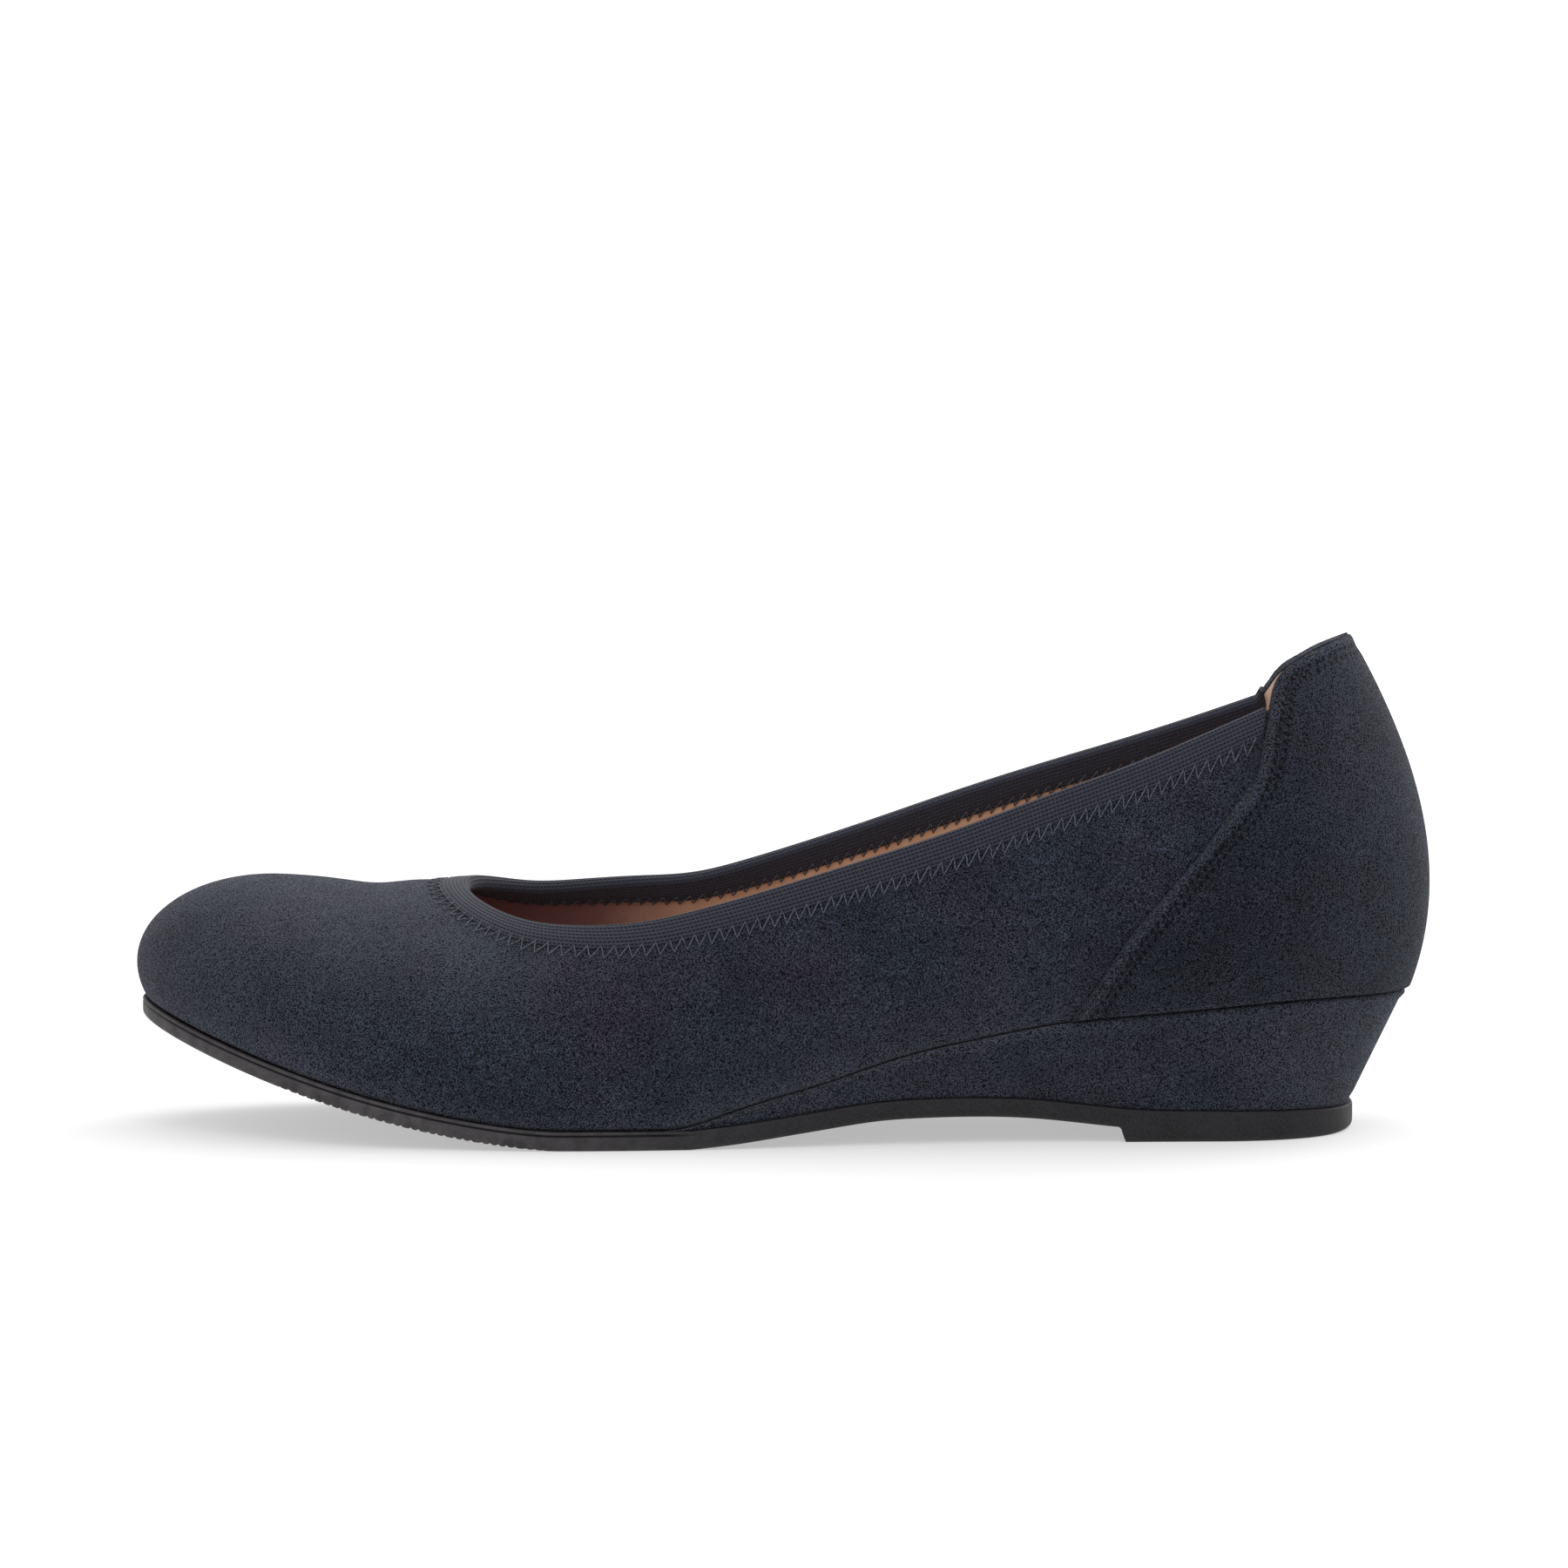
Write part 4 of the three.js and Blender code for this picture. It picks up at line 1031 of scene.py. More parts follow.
class SHOE_OT_outsole(bpy.types.Operator):
    """Makes the rubber outsole with its bead line, its notched tread and its thicker heel."""

    bl_idname = "shoe.outsole"
    bl_label = "Outsole"

    def execute(self, context):
        sizes, colours = settings()
        ways = np.linspace(0, 1, 641)
        across = 14
        top_radius, bead_depth, notch_height = 0.4, 0.35, 0.3
        bead = sizes.bead_drop / MM
        # Rim levels from the bottom edge up: inset, height from the bottom and the share of the bead's groove
        rounded = quarter_round(OUTSOLE_EDGE_RADIUS, 6)
        low = np.concatenate([rounded, [[0, OUTSOLE_EDGE_RADIUS + 0.35]]])
        low = np.pad(low, ((0, 0), (0, 1)))
        # Levels of the upper part: inset, drop from the top and the groove's share
        drops = bead + np.array([0.5, 0.28, 0.14, 0, -0.14, -0.28])
        grooves = np.array([0, 0, 1, 1, 1, 0])
        high = np.concatenate([
            np.stack([0 * drops, drops, grooves], -1),
            np.pad(quarter_round(top_radius, 4)[:, ::-1], ((0, 0), (0, 1))),
        ])
        levels = np.concatenate([low, high])
        from_top = np.arange(len(levels)) >= len(low)
        notched = np.arange(len(levels)) < len(rounded)

        def rim(side, way):
            """The rounded edge, with the bead's groove in front of the wedge and notches in the tread."""
            base = outline_point(OUTSOLE_LINE, side, way)
            station = base[..., 0] / SHOE_LENGTH
            groove = bead_depth * levels[:, 2] * (1 - smooth_step(*BEAD_END, station))
            tread = smooth_step(*TREAD_START, station) * (1 - smooth_step(*TREAD_END, station))
            notch = np.cos(2 * np.pi * base[..., 0] * MM / sizes.tread_pitch)
            notch = tread * notch_height * smooth_step(0.3, 0.9, notch) * notched
            # The rear corner is worn rounder than the rest
            corner = mix(1, 1.45, smooth_step(*REAR_CORNER, station))
            inset = levels[:, 0] * np.where(from_top, 1, corner) + groove + 0.5 * notch
            point = inset_point(OUTSOLE_LINE, side + 0 * inset, way + 0 * inset, inset)
            lift = levels[:, 1] * corner + notch
            height = outsole_underside(station) + lift
            height = np.where(from_top, outsole_top(station) - levels[:, 1], height)
            return np.concatenate([point, height[..., None]], -1)

        loops = sole_loops(rim, ways, across)
        station = loops[..., 0] / SHOE_LENGTH
        above = loops[..., 2] - outsole_underside(station)
        # Paler scuffs along the bottom edge, and paler towards the toe as painted light
        wear_and_painted_light = 0.3 - 0.3 * smooth_step(0, 1.2, above) + 0.75 * (1 - smooth_step(0.2, 0.55, station))
        groove = np.zeros(loops.shape[1])
        groove[: len(levels)] = levels[:, 2]
        groove[len(levels) + across - 1 :][: len(levels)] = levels[::-1, 2]
        # Share of the painted shade in the bead's groove
        groove = 0.85 * groove * (1 - smooth_step(*BEAD_END, station))
        # The ribs stop a little inside the edge of the underside
        underside = np.zeros(loops.shape[:2])
        underside[:, 2 * len(levels) + across - 1 :] = 1
        fields = {"wear_and_painted_light": wear_and_painted_light, "groove": groove, "underside": underside}
        mesh = make_mesh("outsole_rubber", [(loops, False, None)], fields)
        add_piece("outsole_rubber", mesh, moulded_rubber(colours, sizes), ["outsole"])
        return {"FINISHED"}


class SHOE_OT_wedge(bpy.types.Operator):
    """Makes the wedge in its suede cover, with a rounded top edge under the seam."""

    bl_idname = "shoe.wedge"
    bl_label = "Wedge"

    def execute(self, context):
        sizes, colours = settings()
        front = way_of_station(FEATHER_LINE, WEDGE_COVER_FRONT)
        ways = mix(front, 1, np.linspace(0, 1, 260))
        top_round, low_round, foot_gap = 1.1, 0.5, 0.05
        # Rim levels: share of the side from the foot to the head, inset and rise from it
        low = [(0, inset, rise) for inset, rise in quarter_round(low_round, 6)]
        side_levels = [(share, 0, 0) for share in np.linspace(0.1, 0.9, 9)]
        high = [(1, inset, -drop) for drop, inset in quarter_round(top_round, 6)]
        levels = np.array(low + side_levels + high)

        def rim(side, way):
            """Ruled from the outsole's edge up to the feather, with both edges rounded."""
            station = station_of_way(FEATHER_LINE, way)
            share = (station - WEDGE_FRONT) / (FEATHER_BACK - WEDGE_FRONT)
            below = way_of_station(OUTSOLE_LINE, mix(WEDGE_FRONT, OUTSOLE_BACK, share))
            foot = inset_point(OUTSOLE_LINE, side, below, WEDGE_LEDGE + 0 * below)
            foot_z = outsole_top(foot[..., 0] / SHOE_LENGTH) + foot_gap
            swell = smooth_step(WEDGE_FRONT, HEEL_BREAST, station)
            head = inset_point(FEATHER_LINE, side, way, -WEDGE_LEDGE * swell)
            head_z = feather_height(head[..., 0] / SHOE_LENGTH) - CLEARANCE
            thick = np.clip((head_z - foot_z) / (top_round + low_round), 0.05, 1)
            line = mix(foot, head, levels[:, :1])
            height = mix(foot_z, head_z, levels[:, 0]) + thick * levels[:, 2]
            middle = np.stack([line[..., 0], BALL_WIDTH * PLAN["centre"](station) + 0 * height], -1)
            inward = unit(middle - line)
            point = line + inward * (thick * levels[:, 1])[..., None]
            return np.concatenate([point, height[..., None]], -1)

        loops = sole_loops(rim, ways, 8)
        # A pale band about 1 mm under the top edge: painted highlight where the rounded edge catches the
        # light.
        drop = feather_height(loops[..., 0] / SHOE_LENGTH) - loops[..., 2]
        wear_and_painted_light = 0.3 * bump_at(drop, 1.0, 0.7)
        mesh = make_mesh("wedge_cover", [(loops, False, None)], {"wear_and_painted_light": wear_and_painted_light})
        add_piece("wedge_cover", mesh, suede("brushed_suede_wedge", colours, sizes), ["wedge"])
        return {"FINISHED"}


def upper_columns(vamp, collar, tab):
    """Columns of the upper all round: their side, the way of their foot and head, and where they end above.

    They run from the back along the outer side to the toe and back along the inner side. Those of the vamp
    end on the crown, where the two sides meet.
    """
    columns = []
    for side, tab_way in zip((OUTER, INNER), TAB_WAYS):
        turn = np.linspace(0, 1, collar + 1)[1:]
        share = turn**1.5
        foot = np.concatenate([
            np.linspace(0, THROAT_WAY, vamp + 1),
            mix(THROAT_WAY, tab_way, (share + turn) / 2),
            mix(tab_way, 1, np.linspace(0, 1, tab + 1)[1:]),
        ])
        head = foot.copy()
        head[vamp + 1 : vamp + 1 + collar] = mix(THROAT_WAY, tab_way, share)
        part = np.stack([np.full(len(foot), side), foot, head], -1)
        columns.append(part[::-1] if side == OUTER else part[1:-1])
    side, foot, head = np.concatenate(columns).T
    return side, foot, head, edge_girth(side, head), head <= THROAT_WAY + 1e-9


def relief(side, way, girth, depth):
    """Height of the soft troughs and ridges: slanted bell curves by station and girth, added up."""
    station = station_of_way(FEATHER_LINE, way)
    total = 0 * station
    for half, at, up, along, around, slant, height in CREASES:
        here = np.where(side == half, 1, 0) if half else 1
        lean = at + slant * (girth - up)
        total = total + here * depth * height * bump_at(station, lean, along) * bump_at(girth, up, around)
    return total


def upper_shell(counts, rows, outer_offset, inner_offset, start=0.0):
    """Loops of a layer of the upper: up its outer face and down its inner face, with the vamp's quads closed.

    start is the girth of its lower edge.
    """
    side, foot, head, top, closed = upper_columns(*counts)
    share = np.linspace(0, 1, rows + 1)
    share = share - 0.1 * np.sin(2 * np.pi * share) / np.pi
    way = mix(foot[:, None], head[:, None], share)
    girth = mix(start, top[:, None], share)
    sides = side[:, None] + 0 * girth
    outer = offset_point(sides, way, girth, outer_offset(sides, way, girth))
    inner = offset_point(sides, way, girth, inner_offset(sides, way, girth))
    loops = both_faces(outer, inner)
    skip = np.zeros(loops.shape[:2], bool)
    skip[:, rows] = closed & np.roll(closed, -1)
    return loops, skip, (sides, way, girth)


def girth_height(side, way, girth):
    """Height of a place above the feather."""
    return last_point(side, way, girth)[..., 2] - last_point(side, way, 0 * girth)[..., 2]


class SHOE_OT_upper(bpy.types.Operator):
    """Makes the suede of the upper, lasted over the foot and turned in at the sole."""

    bl_idname = "shoe.upper"
    bl_label = "Upper"

    def execute(self, context):
        sizes, colours = settings()
        turn_in = 1.0

        def outside(side, way, girth):
            """The last with its troughs, rounded inwards at the feather like a quarter circle."""
            tuck = 0.7 * (1 - round_end(girth_height(side, way, girth), turn_in))
            return relief(side, way, girth, sizes.crease_depth) - tuck

        # Columns over the vamp, the collar and the tab
        counts = (70, 170, 34)
        loops, skip, (side, way, girth) = upper_shell(
            counts, 60, outside, lambda side, way, girth: SUEDE_BACK + 0 * girth
        )
        height = girth_height(side, way, girth)
        # The turned edge is pressed down onto the sole, across the solids' clearance
        press = 0.9 * CLEARANCE * (1 - np.clip(height / turn_in, 0, 1)) ** 2
        loops[..., 2] -= both_faces(press, press)
        station = station_of_way(FEATHER_LINE, way)
        # Paler towards the feather, most at the toe: partly scuffs and partly painted light on the low edge,
        # where the floor lights it.
        low = np.exp(-height / 2.5)
        wear_and_painted_light = 0.6 * low * (1 - smooth_step(0.02, 0.30, station)) + 0.22 * low
        wear_and_painted_light = both_faces(wear_and_painted_light, 0 * wear_and_painted_light)
        mesh = make_mesh("upper_suede", [(loops, True, skip)], {"wear_and_painted_light": wear_and_painted_light})
        add_piece("upper_suede", mesh, suede("brushed_suede_upper", colours, sizes), ["upper"])
        return {"FINISHED"}


def toe_shade_share(station):
    """Share of the painted shade deep in the toe, fading out behind the ball."""
    return 0.92 * (1 - smooth_step(*TOE_SHADE_END, station))


class SHOE_OT_lining(bpy.types.Operator):
    """Makes the tan leather lining inside the upper."""

    bl_idname = "shoe.lining"
    bl_label = "Lining"

    def execute(self, context):
        sizes, colours = settings()
        loops, skip, (side, way, girth) = upper_shell(
            (40, 110, 26),
            30,
            lambda side, way, girth: LINING_FACE + 0 * girth,
            lambda side, way, girth: -UPPER_WALL + 0 * girth,
            0.035,
        )
        place = last_point(side, way, girth)
        station = place[..., 0] / SHOE_LENGTH
        below = place[:, -1:, 2] - place[..., 2]
        tab = 0.9 * smooth_step(*TAB_LINING_START, station) * (1 - smooth_step(5, 9, below))
        # Painted shade deep in the toe
        toe = toe_shade_share(station)
        fields = {"toe": both_faces(toe, toe), "tab": both_faces(tab, tab)}
        mesh = make_mesh("upper_lining", [(loops, True, skip)], fields)
        add_piece("upper_lining", mesh, lining_leather("lining_leather", colours, 0.7))
        return {"FINISHED"}


def nearest_on_line(points, line, spacing=0.25, parts=24):
    """Distance of each point to a line of close points, and how far along the line its nearest point lies.

    The line is filled up to the given spacing, and the points are taken in parts to save memory.
    """
    run = np.concatenate([[0], np.cumsum(np.linalg.norm(np.diff(line, axis=0), axis=1))])
    even = np.linspace(0, run[-1], int(run[-1] / spacing) + 1)
    dense = np.stack([np.interp(even, run, line[:, k]) for k in range(3)], -1)
    flat = points.reshape(-1, 3)
    nearest = np.empty(len(flat), int)
    gap = np.empty(len(flat))
    for part in np.array_split(np.arange(len(flat)), parts):
        squares = ((flat[part, None] - dense[None]) ** 2).sum(-1)
        nearest[part] = squares.argmin(1)
        gap[part] = np.sqrt(squares.min(1))
    return gap.reshape(points.shape[:-1]), even[nearest].reshape(points.shape[:-1])


class SHOE_OT_counter(bpy.types.Operator):
    """Makes the raised heel counter, with its rounded edge and the two rows of stitches inside it."""

    bl_idname = "shoe.counter"
    bl_label = "Heel counter"

    def execute(self, context):
        sizes, colours = settings()
        foot_share = np.linspace(0, 1, 71)[:-1]
        tab_station = mix(TAB_FRONT, TAB_PEAK, np.sin(np.linspace(0, np.pi / 2, 50)))[:-1]
        station = np.concatenate([COUNTER["station"](foot_share), tab_station])
        edges = {}
        for side in (OUTER, INNER):
            height = np.concatenate([
                TAB_HEIGHT * COUNTER["height"](foot_share),
                collar_top(np.full(len(tab_station), side), tab_station),
            ])
            way, girth = place_in_side_view(np.full(len(station), side), station, height)
            girth[0] = 0
            edges[side] = way, girth
        back_girth = (edges[OUTER][1] + edges[INNER][1]) / 2
        across = np.sin(np.linspace(-np.pi / 2, np.pi / 2, 181))
        side = np.where(across < 0, OUTER, INNER)[None, :] + 0 * len(station)
        out = np.abs(across)[None, :]
        edge_way = np.where(side < 0, edges[OUTER][0][:, None], edges[INNER][0][:, None])
        edge_girths = np.where(side < 0, edges[OUTER][1][:, None], edges[INNER][1][:, None])
        side = np.broadcast_to(side, edge_way.shape)
        way = mix(1, edge_way, out)
        girth = mix(back_girth[:, None], edge_girths, out**2)
        skin = last_point(side, way, girth)
        line = np.concatenate([skin[:, 0], skin[::-1, -1]])
        gap, run = nearest_on_line(skin, line)
        # The edge is a quarter circle, with a low ridge inside it and a trough along the stitches
        edge_width, edge_share, ridge, trough, tuck, fit = 0.9, 0.2, 0.02, 0.16, 0.5, 0.06
        stitches = sizes.stitch_edge / MM + sizes.stitch_rows / MM / 2
        rounding = mix(edge_share, 1, round_end(gap, edge_width))
        thick = COUNTER_CLEARANCE + COUNTER_THICKNESS * rounding
        thick = thick + ridge * bump_at(gap, 1.2, 0.7) - trough * bump_at(gap, stitches, 1.1)
        low = skin[..., 2] - feather_height(skin[..., 0] / SHOE_LENGTH)
        thick = thick - tuck * (1 - round_end(low, 1))
        outer = offset_point(side, way, girth, thick)
        inner = offset_point(side, way, girth, 0 * thick + fit)
        for face in (outer, inner):
            face[..., 2] = np.maximum(face[..., 2], feather_height(face[..., 0] / SHOE_LENGTH))
        loops = np.concatenate([outer, inner[::-1]], 0).transpose(1, 0, 2)
        # The inner face counts as 20 mm further from the edge, so that no stitches show on it
        fields = {
            "edge_mm": np.concatenate([gap, gap[::-1] + 20], 0).T,
            "run_mm": np.concatenate([run, run[::-1]], 0).T,
            # Paler along the rounded edge: partly wear and partly painted highlight.
            "wear_and_painted_light": np.concatenate([0.3 * bump_at(gap, 1.0, 0.8), 0 * gap], 0).T,
        }
        mesh = make_mesh("counter_suede", [(loops, False, None)], fields)
        # Painted darker than the upper with a tone of 0.74: painted shade.
        material = suede("brushed_suede_counter", colours, sizes, 0.74, holes=True)
        add_piece("counter_suede", mesh, material, ["heel_counter"])
        return {"FINISHED"}


def leg_slope(thickness, share):
    """How far a band's face has come down at a share of its leg, because the band is pressed at its end."""
    return 0.6 * thickness * smooth_step(0.55, 1, share)


def folded_profile(outer_leg, inner_leg, outer_offset, inner_offset, height, thickness, steps=14):
    """Section of a band folded over an edge, as distances below the edge and offsets out of the form.

    Its skin comes up the outer leg, over half an ellipse and down the inner leg, and its channel goes back.
    """
    middle, half = (outer_offset + inner_offset) / 2, (outer_offset - inner_offset) / 2
    angle = np.linspace(np.pi / 2, -np.pi / 2, steps)
    fold = np.stack([-height * np.cos(angle), middle + half * np.sin(angle)], -1)
    legs = np.linspace(0, 1, 10)[1:]
    thin = leg_slope(thickness, legs)
    outer = np.stack([outer_leg * legs, outer_offset - thin], -1)
    inner = np.stack([inner_leg * legs, inner_offset + thin], -1)
    channel = np.array([
        [inner_leg, inner_offset + thickness],
        [0.1, inner_offset + thickness],
        [0.1, outer_offset - thickness],
        [outer_leg, outer_offset - thickness],
    ])
    return np.concatenate([outer[::-1], fold, inner, channel])


def profile_run(profile):
    """Length along a profile, from its middle."""
    run = np.concatenate([[0], np.cumsum(np.linalg.norm(np.diff(profile, axis=0), axis=1))])
    fold = np.argmin(profile[:, 0])
    return run - run[fold]


def edge_runs(place_at, turns):
    """Length along an edge at each turn."""
    points = last_point(*place_at(turns[:, None], np.zeros((len(turns), 1))))[:, 0]
    return np.concatenate([[0], np.cumsum(np.linalg.norm(np.diff(points, axis=0), axis=1))])


class SHOE_OT_binding(bpy.types.Operator):
    """Makes the ribbed elastic folded over the throat and the collar."""

    bl_idname = "shoe.binding"
    bl_label = "Topline binding"

    def execute(self, context):
        sizes, colours = settings()
        turns = np.linspace(-1, 1, 560)
        profile = folded_profile(
            sizes.outside_band / MM,
            sizes.inside_band / MM,
            BINDING_FACE,
            -UPPER_WALL - BINDING_FACE,
            BINDING_FOLD,
            BINDING_FACE - BINDING_GAP,
        )
        points = band_points(topline_place, turns[:, None], profile[None, :, 0], profile[None, :, 1])
        along = edge_runs(topline_place, turns)
        fields = {
            "along_mm": np.broadcast_to(along[:, None], points.shape[:2]),
            "across_mm": np.broadcast_to(profile_run(profile)[None, :], points.shape[:2]),
        }
        mesh = make_mesh("topline_elastic", [(points, False, None)], fields)
        add_piece("topline_elastic", mesh, knit_elastic(colours, sizes), ["topline_binding"])
        return {"FINISHED"}


class SHOE_OT_seam(bpy.types.Operator):
    """Makes the zigzag seam along both edges of the elastic."""

    bl_idname = "shoe.seam"
    bl_label = "Zigzag seam"

    def execute(self, context):
        sizes, colours = settings()
        fine = np.linspace(-0.99, 0.99, 500)
        run = edge_runs(topline_place, fine)
        pitch = sizes.zigzag_pitch / MM
        radius = sizes.thread_thickness / MM / 2
        corners = int(2 * run[-1] / pitch)
        steps = 5
        count = np.arange(corners * steps + 1) / steps
        turn = np.interp(count * pitch / 2, run, fine)
        swing = np.abs((count % 2) - 1)
        lift = bump_at(swing, 0.5, 0.35)
        grids, paths = [], []
        # Height of the thread's middle where it goes in and how far it rises between, and how far the seam
        # reaches past the band on each face
        sunk, arch = 0.08, 0.1
        past_outside, past_inside, inside_height = 2.2, 0.9, 2.2
        widths = sizes.outside_band / MM, sizes.inside_band / MM
        outside = widths[0] + past_outside - sizes.zigzag_height / MM * swing
        inside = widths[1] + past_inside - inside_height * swing
        for distance, width, face in ((outside, widths[0], 1), (inside, widths[1], -1)):
            # The thread follows the band's sloping face, and then lies on the suede or the lining
            slope = leg_slope(BINDING_FACE - BINDING_GAP, distance / width)
            height = np.where(distance < width, BINDING_FACE - slope, BINDING_GAP) + sunk + arch * lift
            paths.append((distance, (0 if face > 0 else -UPPER_WALL) + face * height, face))
        for distance, offset, face in paths:
            grid = topline_place, turn[:, None], distance[:, None]
            path = band_points(*grid, offset[:, None])[:, 0]
            raised = band_points(*grid, offset[:, None] + face)[:, 0]
            up = unit(raised - path)
            beside = unit(np.cross(np.gradient(path, axis=0), up))
            angle = np.linspace(0, 2 * np.pi, 7)[:-1]
            ring = up[:, None] * np.cos(angle)[:, None] + beside[:, None] * np.sin(angle)[:, None]
            grids.append((path[:, None] + radius * ring, False, None))
        mesh = make_mesh("zigzag_thread", grids)
        add_piece("zigzag_thread", mesh, sewing_thread(colours))
        return {"FINISHED"}


class SHOE_OT_tab_edge(bpy.types.Operator):
    """Makes the suede turned over the edge of the pull tab."""

    bl_idname = "shoe.tab_edge"
    bl_label = "Tab edge"

    def execute(self, context):
        sizes, colours = settings()
        turns = np.linspace(-0.995, 0.995, 240)
        outer = COUNTER_CLEARANCE + 0.25 * COUNTER_THICKNESS
        profile = folded_profile(
            outer_leg=0.6,
            inner_leg=0.35,
            outer_offset=outer,
            inner_offset=-UPPER_WALL - 0.1,
            height=0.1,
            thickness=0.35,
        )
        points = band_points(tab_place, turns[:, None], profile[None, :, 0], profile[None, :, 1])
        # The crest of the fold is paler: partly wear and partly painted highlight.
        wear_and_painted_light = np.broadcast_to(0.3 * bump_at(profile[None, :, 0], -0.5, 0.6), points.shape[:2])
        mesh = make_mesh("tab_edge", [(points, False, None)], {"wear_and_painted_light": wear_and_painted_light})
        # Painted darker than the upper with a tone of 0.76: painted shade.
        add_piece("tab_edge", mesh, suede("brushed_suede_tab", colours, sizes, 0.76))
        return {"FINISHED"}


class SHOE_OT_insole(bpy.types.Operator):
    """Makes the tan sock inside the shoe, slightly cupped under the foot."""

    bl_idname = "shoe.insole"
    bl_label = "Insole"

    def execute(self, context):
        sizes, colours = settings()
        ways = np.linspace(0, 1, 221)
        wall = INSOLE_THICKNESS - INSOLE_EDGE_ROUND
        # Rim levels: inset and height above the feather
        rounded = [(inset, INSOLE_THICKNESS - drop) for drop, inset in quarter_round(INSOLE_EDGE_ROUND, 6)]
        levels = np.array([(0, 0.1), (0, wall / 2), *rounded])

        def rim(side, way):
            """Edge along the lining's wall, at heights above the feather, with a rounded top."""
            side, way, rise = np.broadcast_arrays(side, way, levels[:, 1])
            foot = last_point(side, way, 0 * way)[..., 2]
            girth = solve(lambda at: last_point(side, way, at)[..., 2] - foot - rise, way.shape)
            point = offset_point(side, way, girth, -UPPER_WALL - 0.04 - levels[:, 0] + 0 * way)
            return np.concatenate([point[..., :2], (foot + rise)[..., None]], -1)

        across = 24
        loops = sole_loops(rim, ways, across)
        # The top sinks towards its middle like half a sine
        sink = 0.5 * np.sin(np.linspace(0, np.pi, across + 1))[1:-1]
        loops[:, len(levels) : len(levels) + across - 1, 2] -= sink
        # Painted shade deep in the toe, as in the lining
        fields = {"toe": toe_shade_share(loops[..., 0] / SHOE_LENGTH)}
        mesh = make_mesh("insole_sock", [(loops, False, None)], fields)
        material = lining_leather("sock_leather", colours, 0.9)
        add_piece("insole_sock", mesh, material, ["insole"])
        return {"FINISHED"}


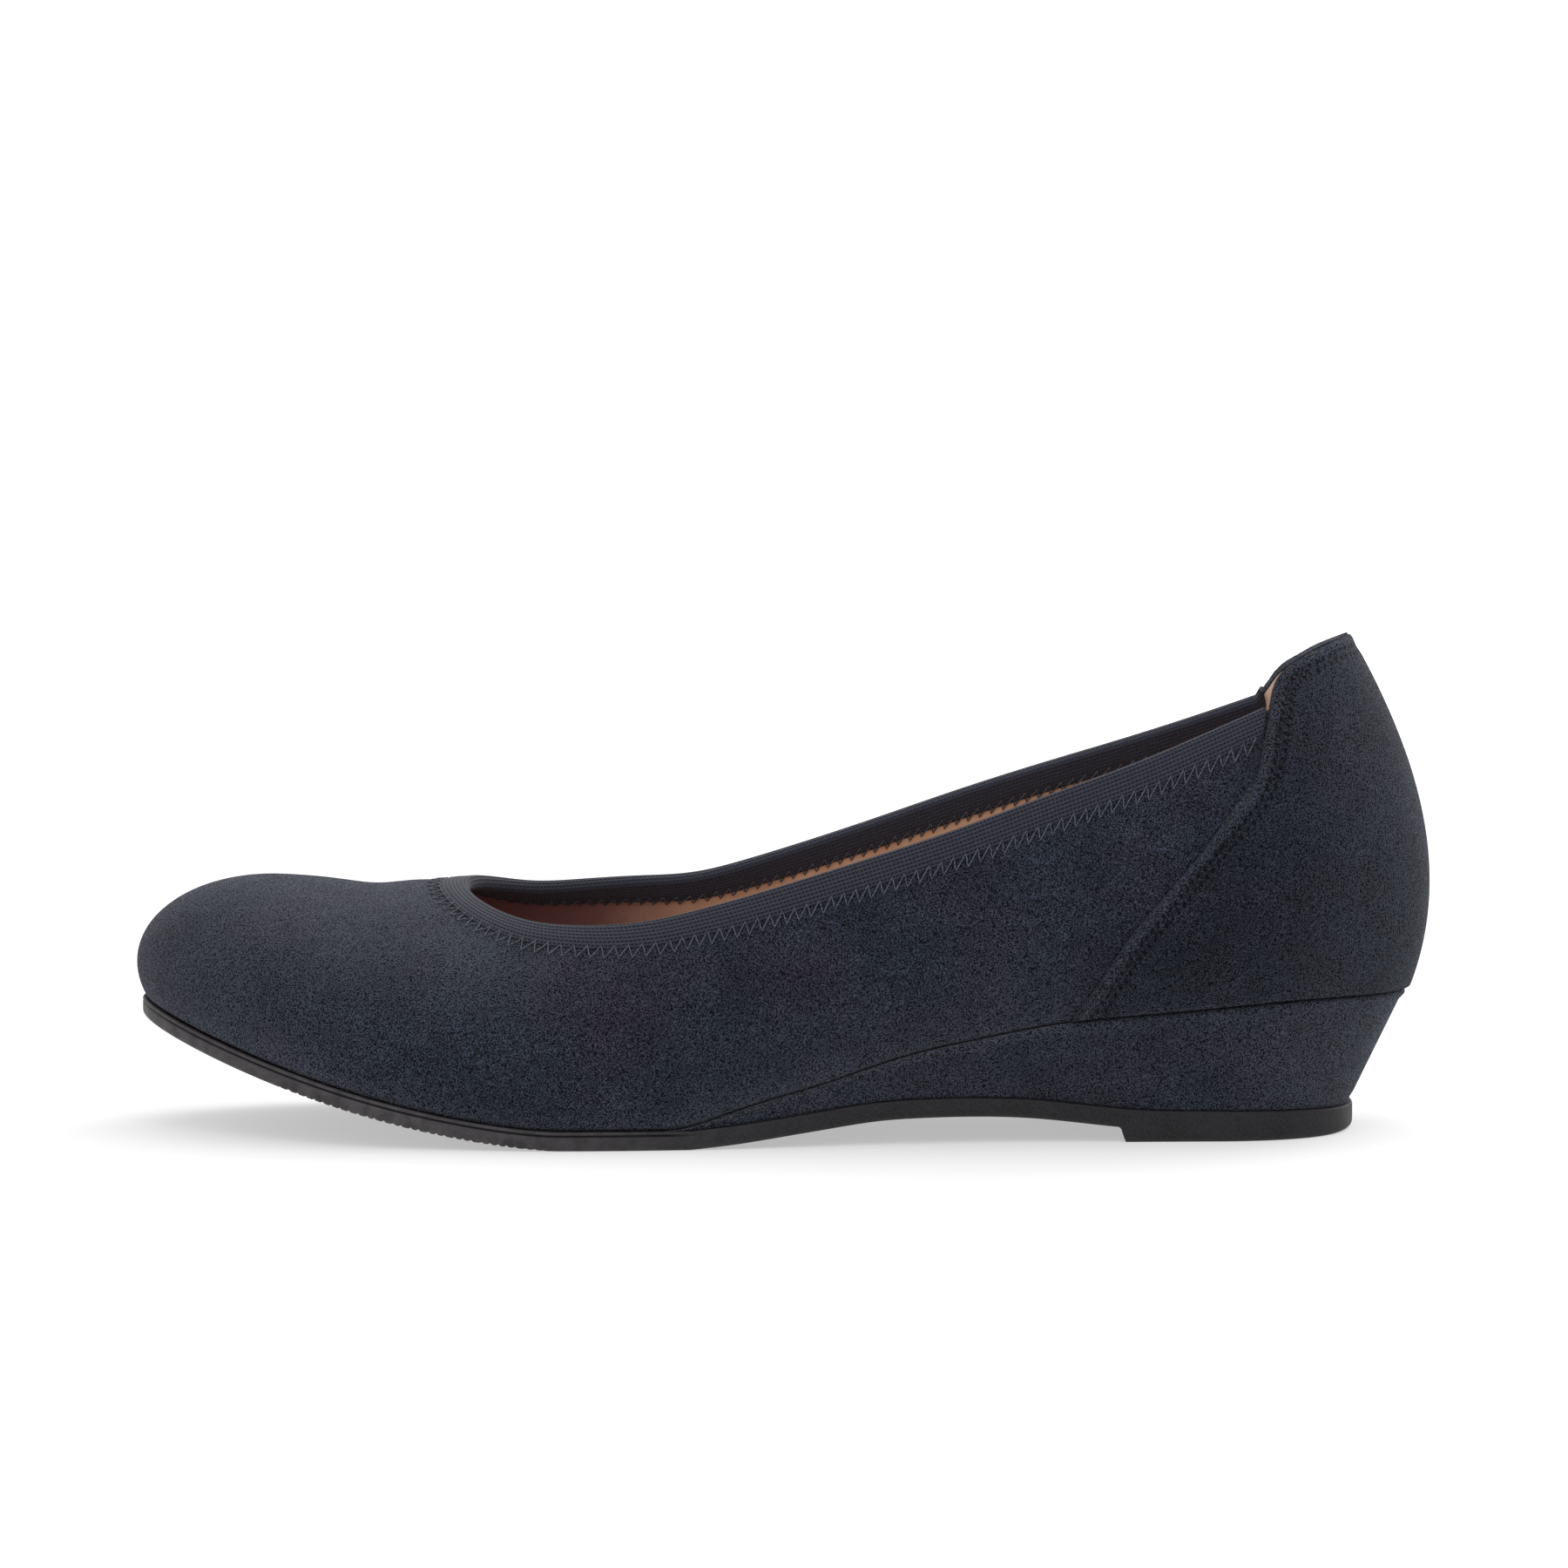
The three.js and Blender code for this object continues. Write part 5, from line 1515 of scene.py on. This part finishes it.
class SHOE_OT_stage(bpy.types.Operator):
    """Makes the pale floor with its backdrop, the soft lights and the camera."""

    bl_idname = "shoe.stage"
    bl_label = "Stage"

    def execute(self, context):
        _, colours = settings()
        scene = context.scene
        # The floor is level, then turns up behind the shoe along a quarter circle
        bend = np.linspace(0, np.pi / 2, 24)
        back, radius, half, edge = 1.6, 1.2, 5.0, 0.9
        curve = np.stack([back + radius * np.sin(bend), radius * (1 - np.cos(bend))], -1)
        table = np.array([[-half, 0.0], [edge, 0.0]])
        wall = np.concatenate([[[edge, 0.0]], curve, [[back + radius, half]]])
        # White acrylic lit from below as well as from above, so that shadows on it stay pale
        for name, profile, share, glow in (("floor", table, 0.44, 0.50), ("backdrop", wall, 0.44, 0.9)):
            n = len(profile)
            points = np.zeros((2, n, 3))
            points[..., 0] = np.array([-half, half])[:, None]
            points[..., 1:] = profile
            mesh = bpy.data.meshes.new(name)
            faces = [(i, n + i, n + i + 1, i + 1) for i in range(n - 1)]
            mesh.from_pydata(points.reshape(-1, 3).tolist(), [], faces)
            mesh.polygons.foreach_set("use_smooth", [True] * (n - 1))
            sheet = bpy.data.objects.new(name, mesh)
            scene.collection.objects.link(sheet)
            material, _, _ = new_material(
                "lit_acrylic_" + name,
                Roughness=0.9,
                Specular_IOR_Level=0.1,
                Base_Color=dye(tuple(share * v for v in colours.stage)),
                Emission_Color=dye(colours.stage),
                Emission_Strength=glow,
            )
            mesh.materials.append(material)

        world = bpy.data.worlds.new("studio")
        scene.world = world
        world.use_nodes = True
        background = world.node_tree.nodes["Background"]
        background.inputs["Color"].default_value = (1, 1, 1, 1)
        background.inputs["Strength"].default_value = 1.0
        # Soft boxes: place, size, power
        aim = Vector((0, 0, 0.04))
        for name, place, size, power in (
            ("key", (0.15, -1.35, 1.5), 1.2, 9),
            ("top", (0.2, 0.7, 1.8), 1.6, 17),
            ("back", (0.9, 1.1, 0.9), 1.0, 14),
        ):
            light = bpy.data.lights.new(name, "AREA")
            light.energy = power
            light.size = size
            lamp = bpy.data.objects.new(name, light)
            lamp.location = place
            lamp.visible_camera = False
            lamp.rotation_euler = (aim - Vector(place)).to_track_quat("-Z", "Y").to_euler()
            scene.collection.objects.link(lamp)

        camera = bpy.data.cameras.new("camera")
        # A long lens from far away, a little above the floor, as in the photo
        camera.lens = 224.2
        camera.sensor_width = 36
        camera.clip_end = 50
        view = bpy.data.objects.new("camera", camera)
        scene.collection.objects.link(view)
        elevation = np.radians(4.9)
        distance = 1.9
        target = Vector((0.00043, 0.00218, 0.0666))
        view.location = target + Vector((0, -distance * np.cos(elevation), distance * np.sin(elevation)))
        view.rotation_euler = (target - view.location).to_track_quat("-Z", "Y").to_euler()
        scene.camera = view
        scene.view_settings.view_transform = "Standard"
        return {"FINISHED"}


class SHOE_PT_panel(bpy.types.Panel):
    """Lists the pieces of the shoe and their sizes and colours."""

    bl_label = "Wedge ballerina"
    bl_idname = "SHOE_PT_panel"
    bl_space_type = "VIEW_3D"
    bl_region_type = "UI"
    bl_category = "Shoe"

    def draw(self, context):
        for piece in PIECES:
            self.layout.operator(piece.bl_idname)
        for group in (context.scene.shoe_sizes, context.scene.shoe_colours):
            box = self.layout.box()
            for key in group.__annotations__:
                box.prop(group, key)


PIECES = (
    SHOE_OT_stage,
    SHOE_OT_outsole,
    SHOE_OT_wedge,
    SHOE_OT_upper,
    SHOE_OT_lining,
    SHOE_OT_counter,
    SHOE_OT_tab_edge,
    SHOE_OT_binding,
    SHOE_OT_seam,
    SHOE_OT_insole,
)
CLASSES = (ShoeSizes, ShoeColours, *PIECES, SHOE_PT_panel)


def register():
    """Registers the classes and hangs the sizes and colours on the scene."""
    for item in CLASSES:
        bpy.utils.register_class(item)
    bpy.types.Scene.shoe_sizes = bpy.props.PointerProperty(type=ShoeSizes)
    bpy.types.Scene.shoe_colours = bpy.props.PointerProperty(type=ShoeColours)


def unregister():
    """Takes them off again."""
    del bpy.types.Scene.shoe_sizes
    del bpy.types.Scene.shoe_colours
    for item in reversed(CLASSES):
        bpy.utils.unregister_class(item)


def main():
    """Makes every piece in order."""
    register()
    bpy.ops.shoe.stage()
    bpy.ops.shoe.outsole()
    bpy.ops.shoe.wedge()
    bpy.ops.shoe.upper()
    bpy.ops.shoe.lining()
    bpy.ops.shoe.counter()
    bpy.ops.shoe.tab_edge()
    bpy.ops.shoe.binding()
    bpy.ops.shoe.seam()
    bpy.ops.shoe.insole()


if __name__ == "__main__":
    main()
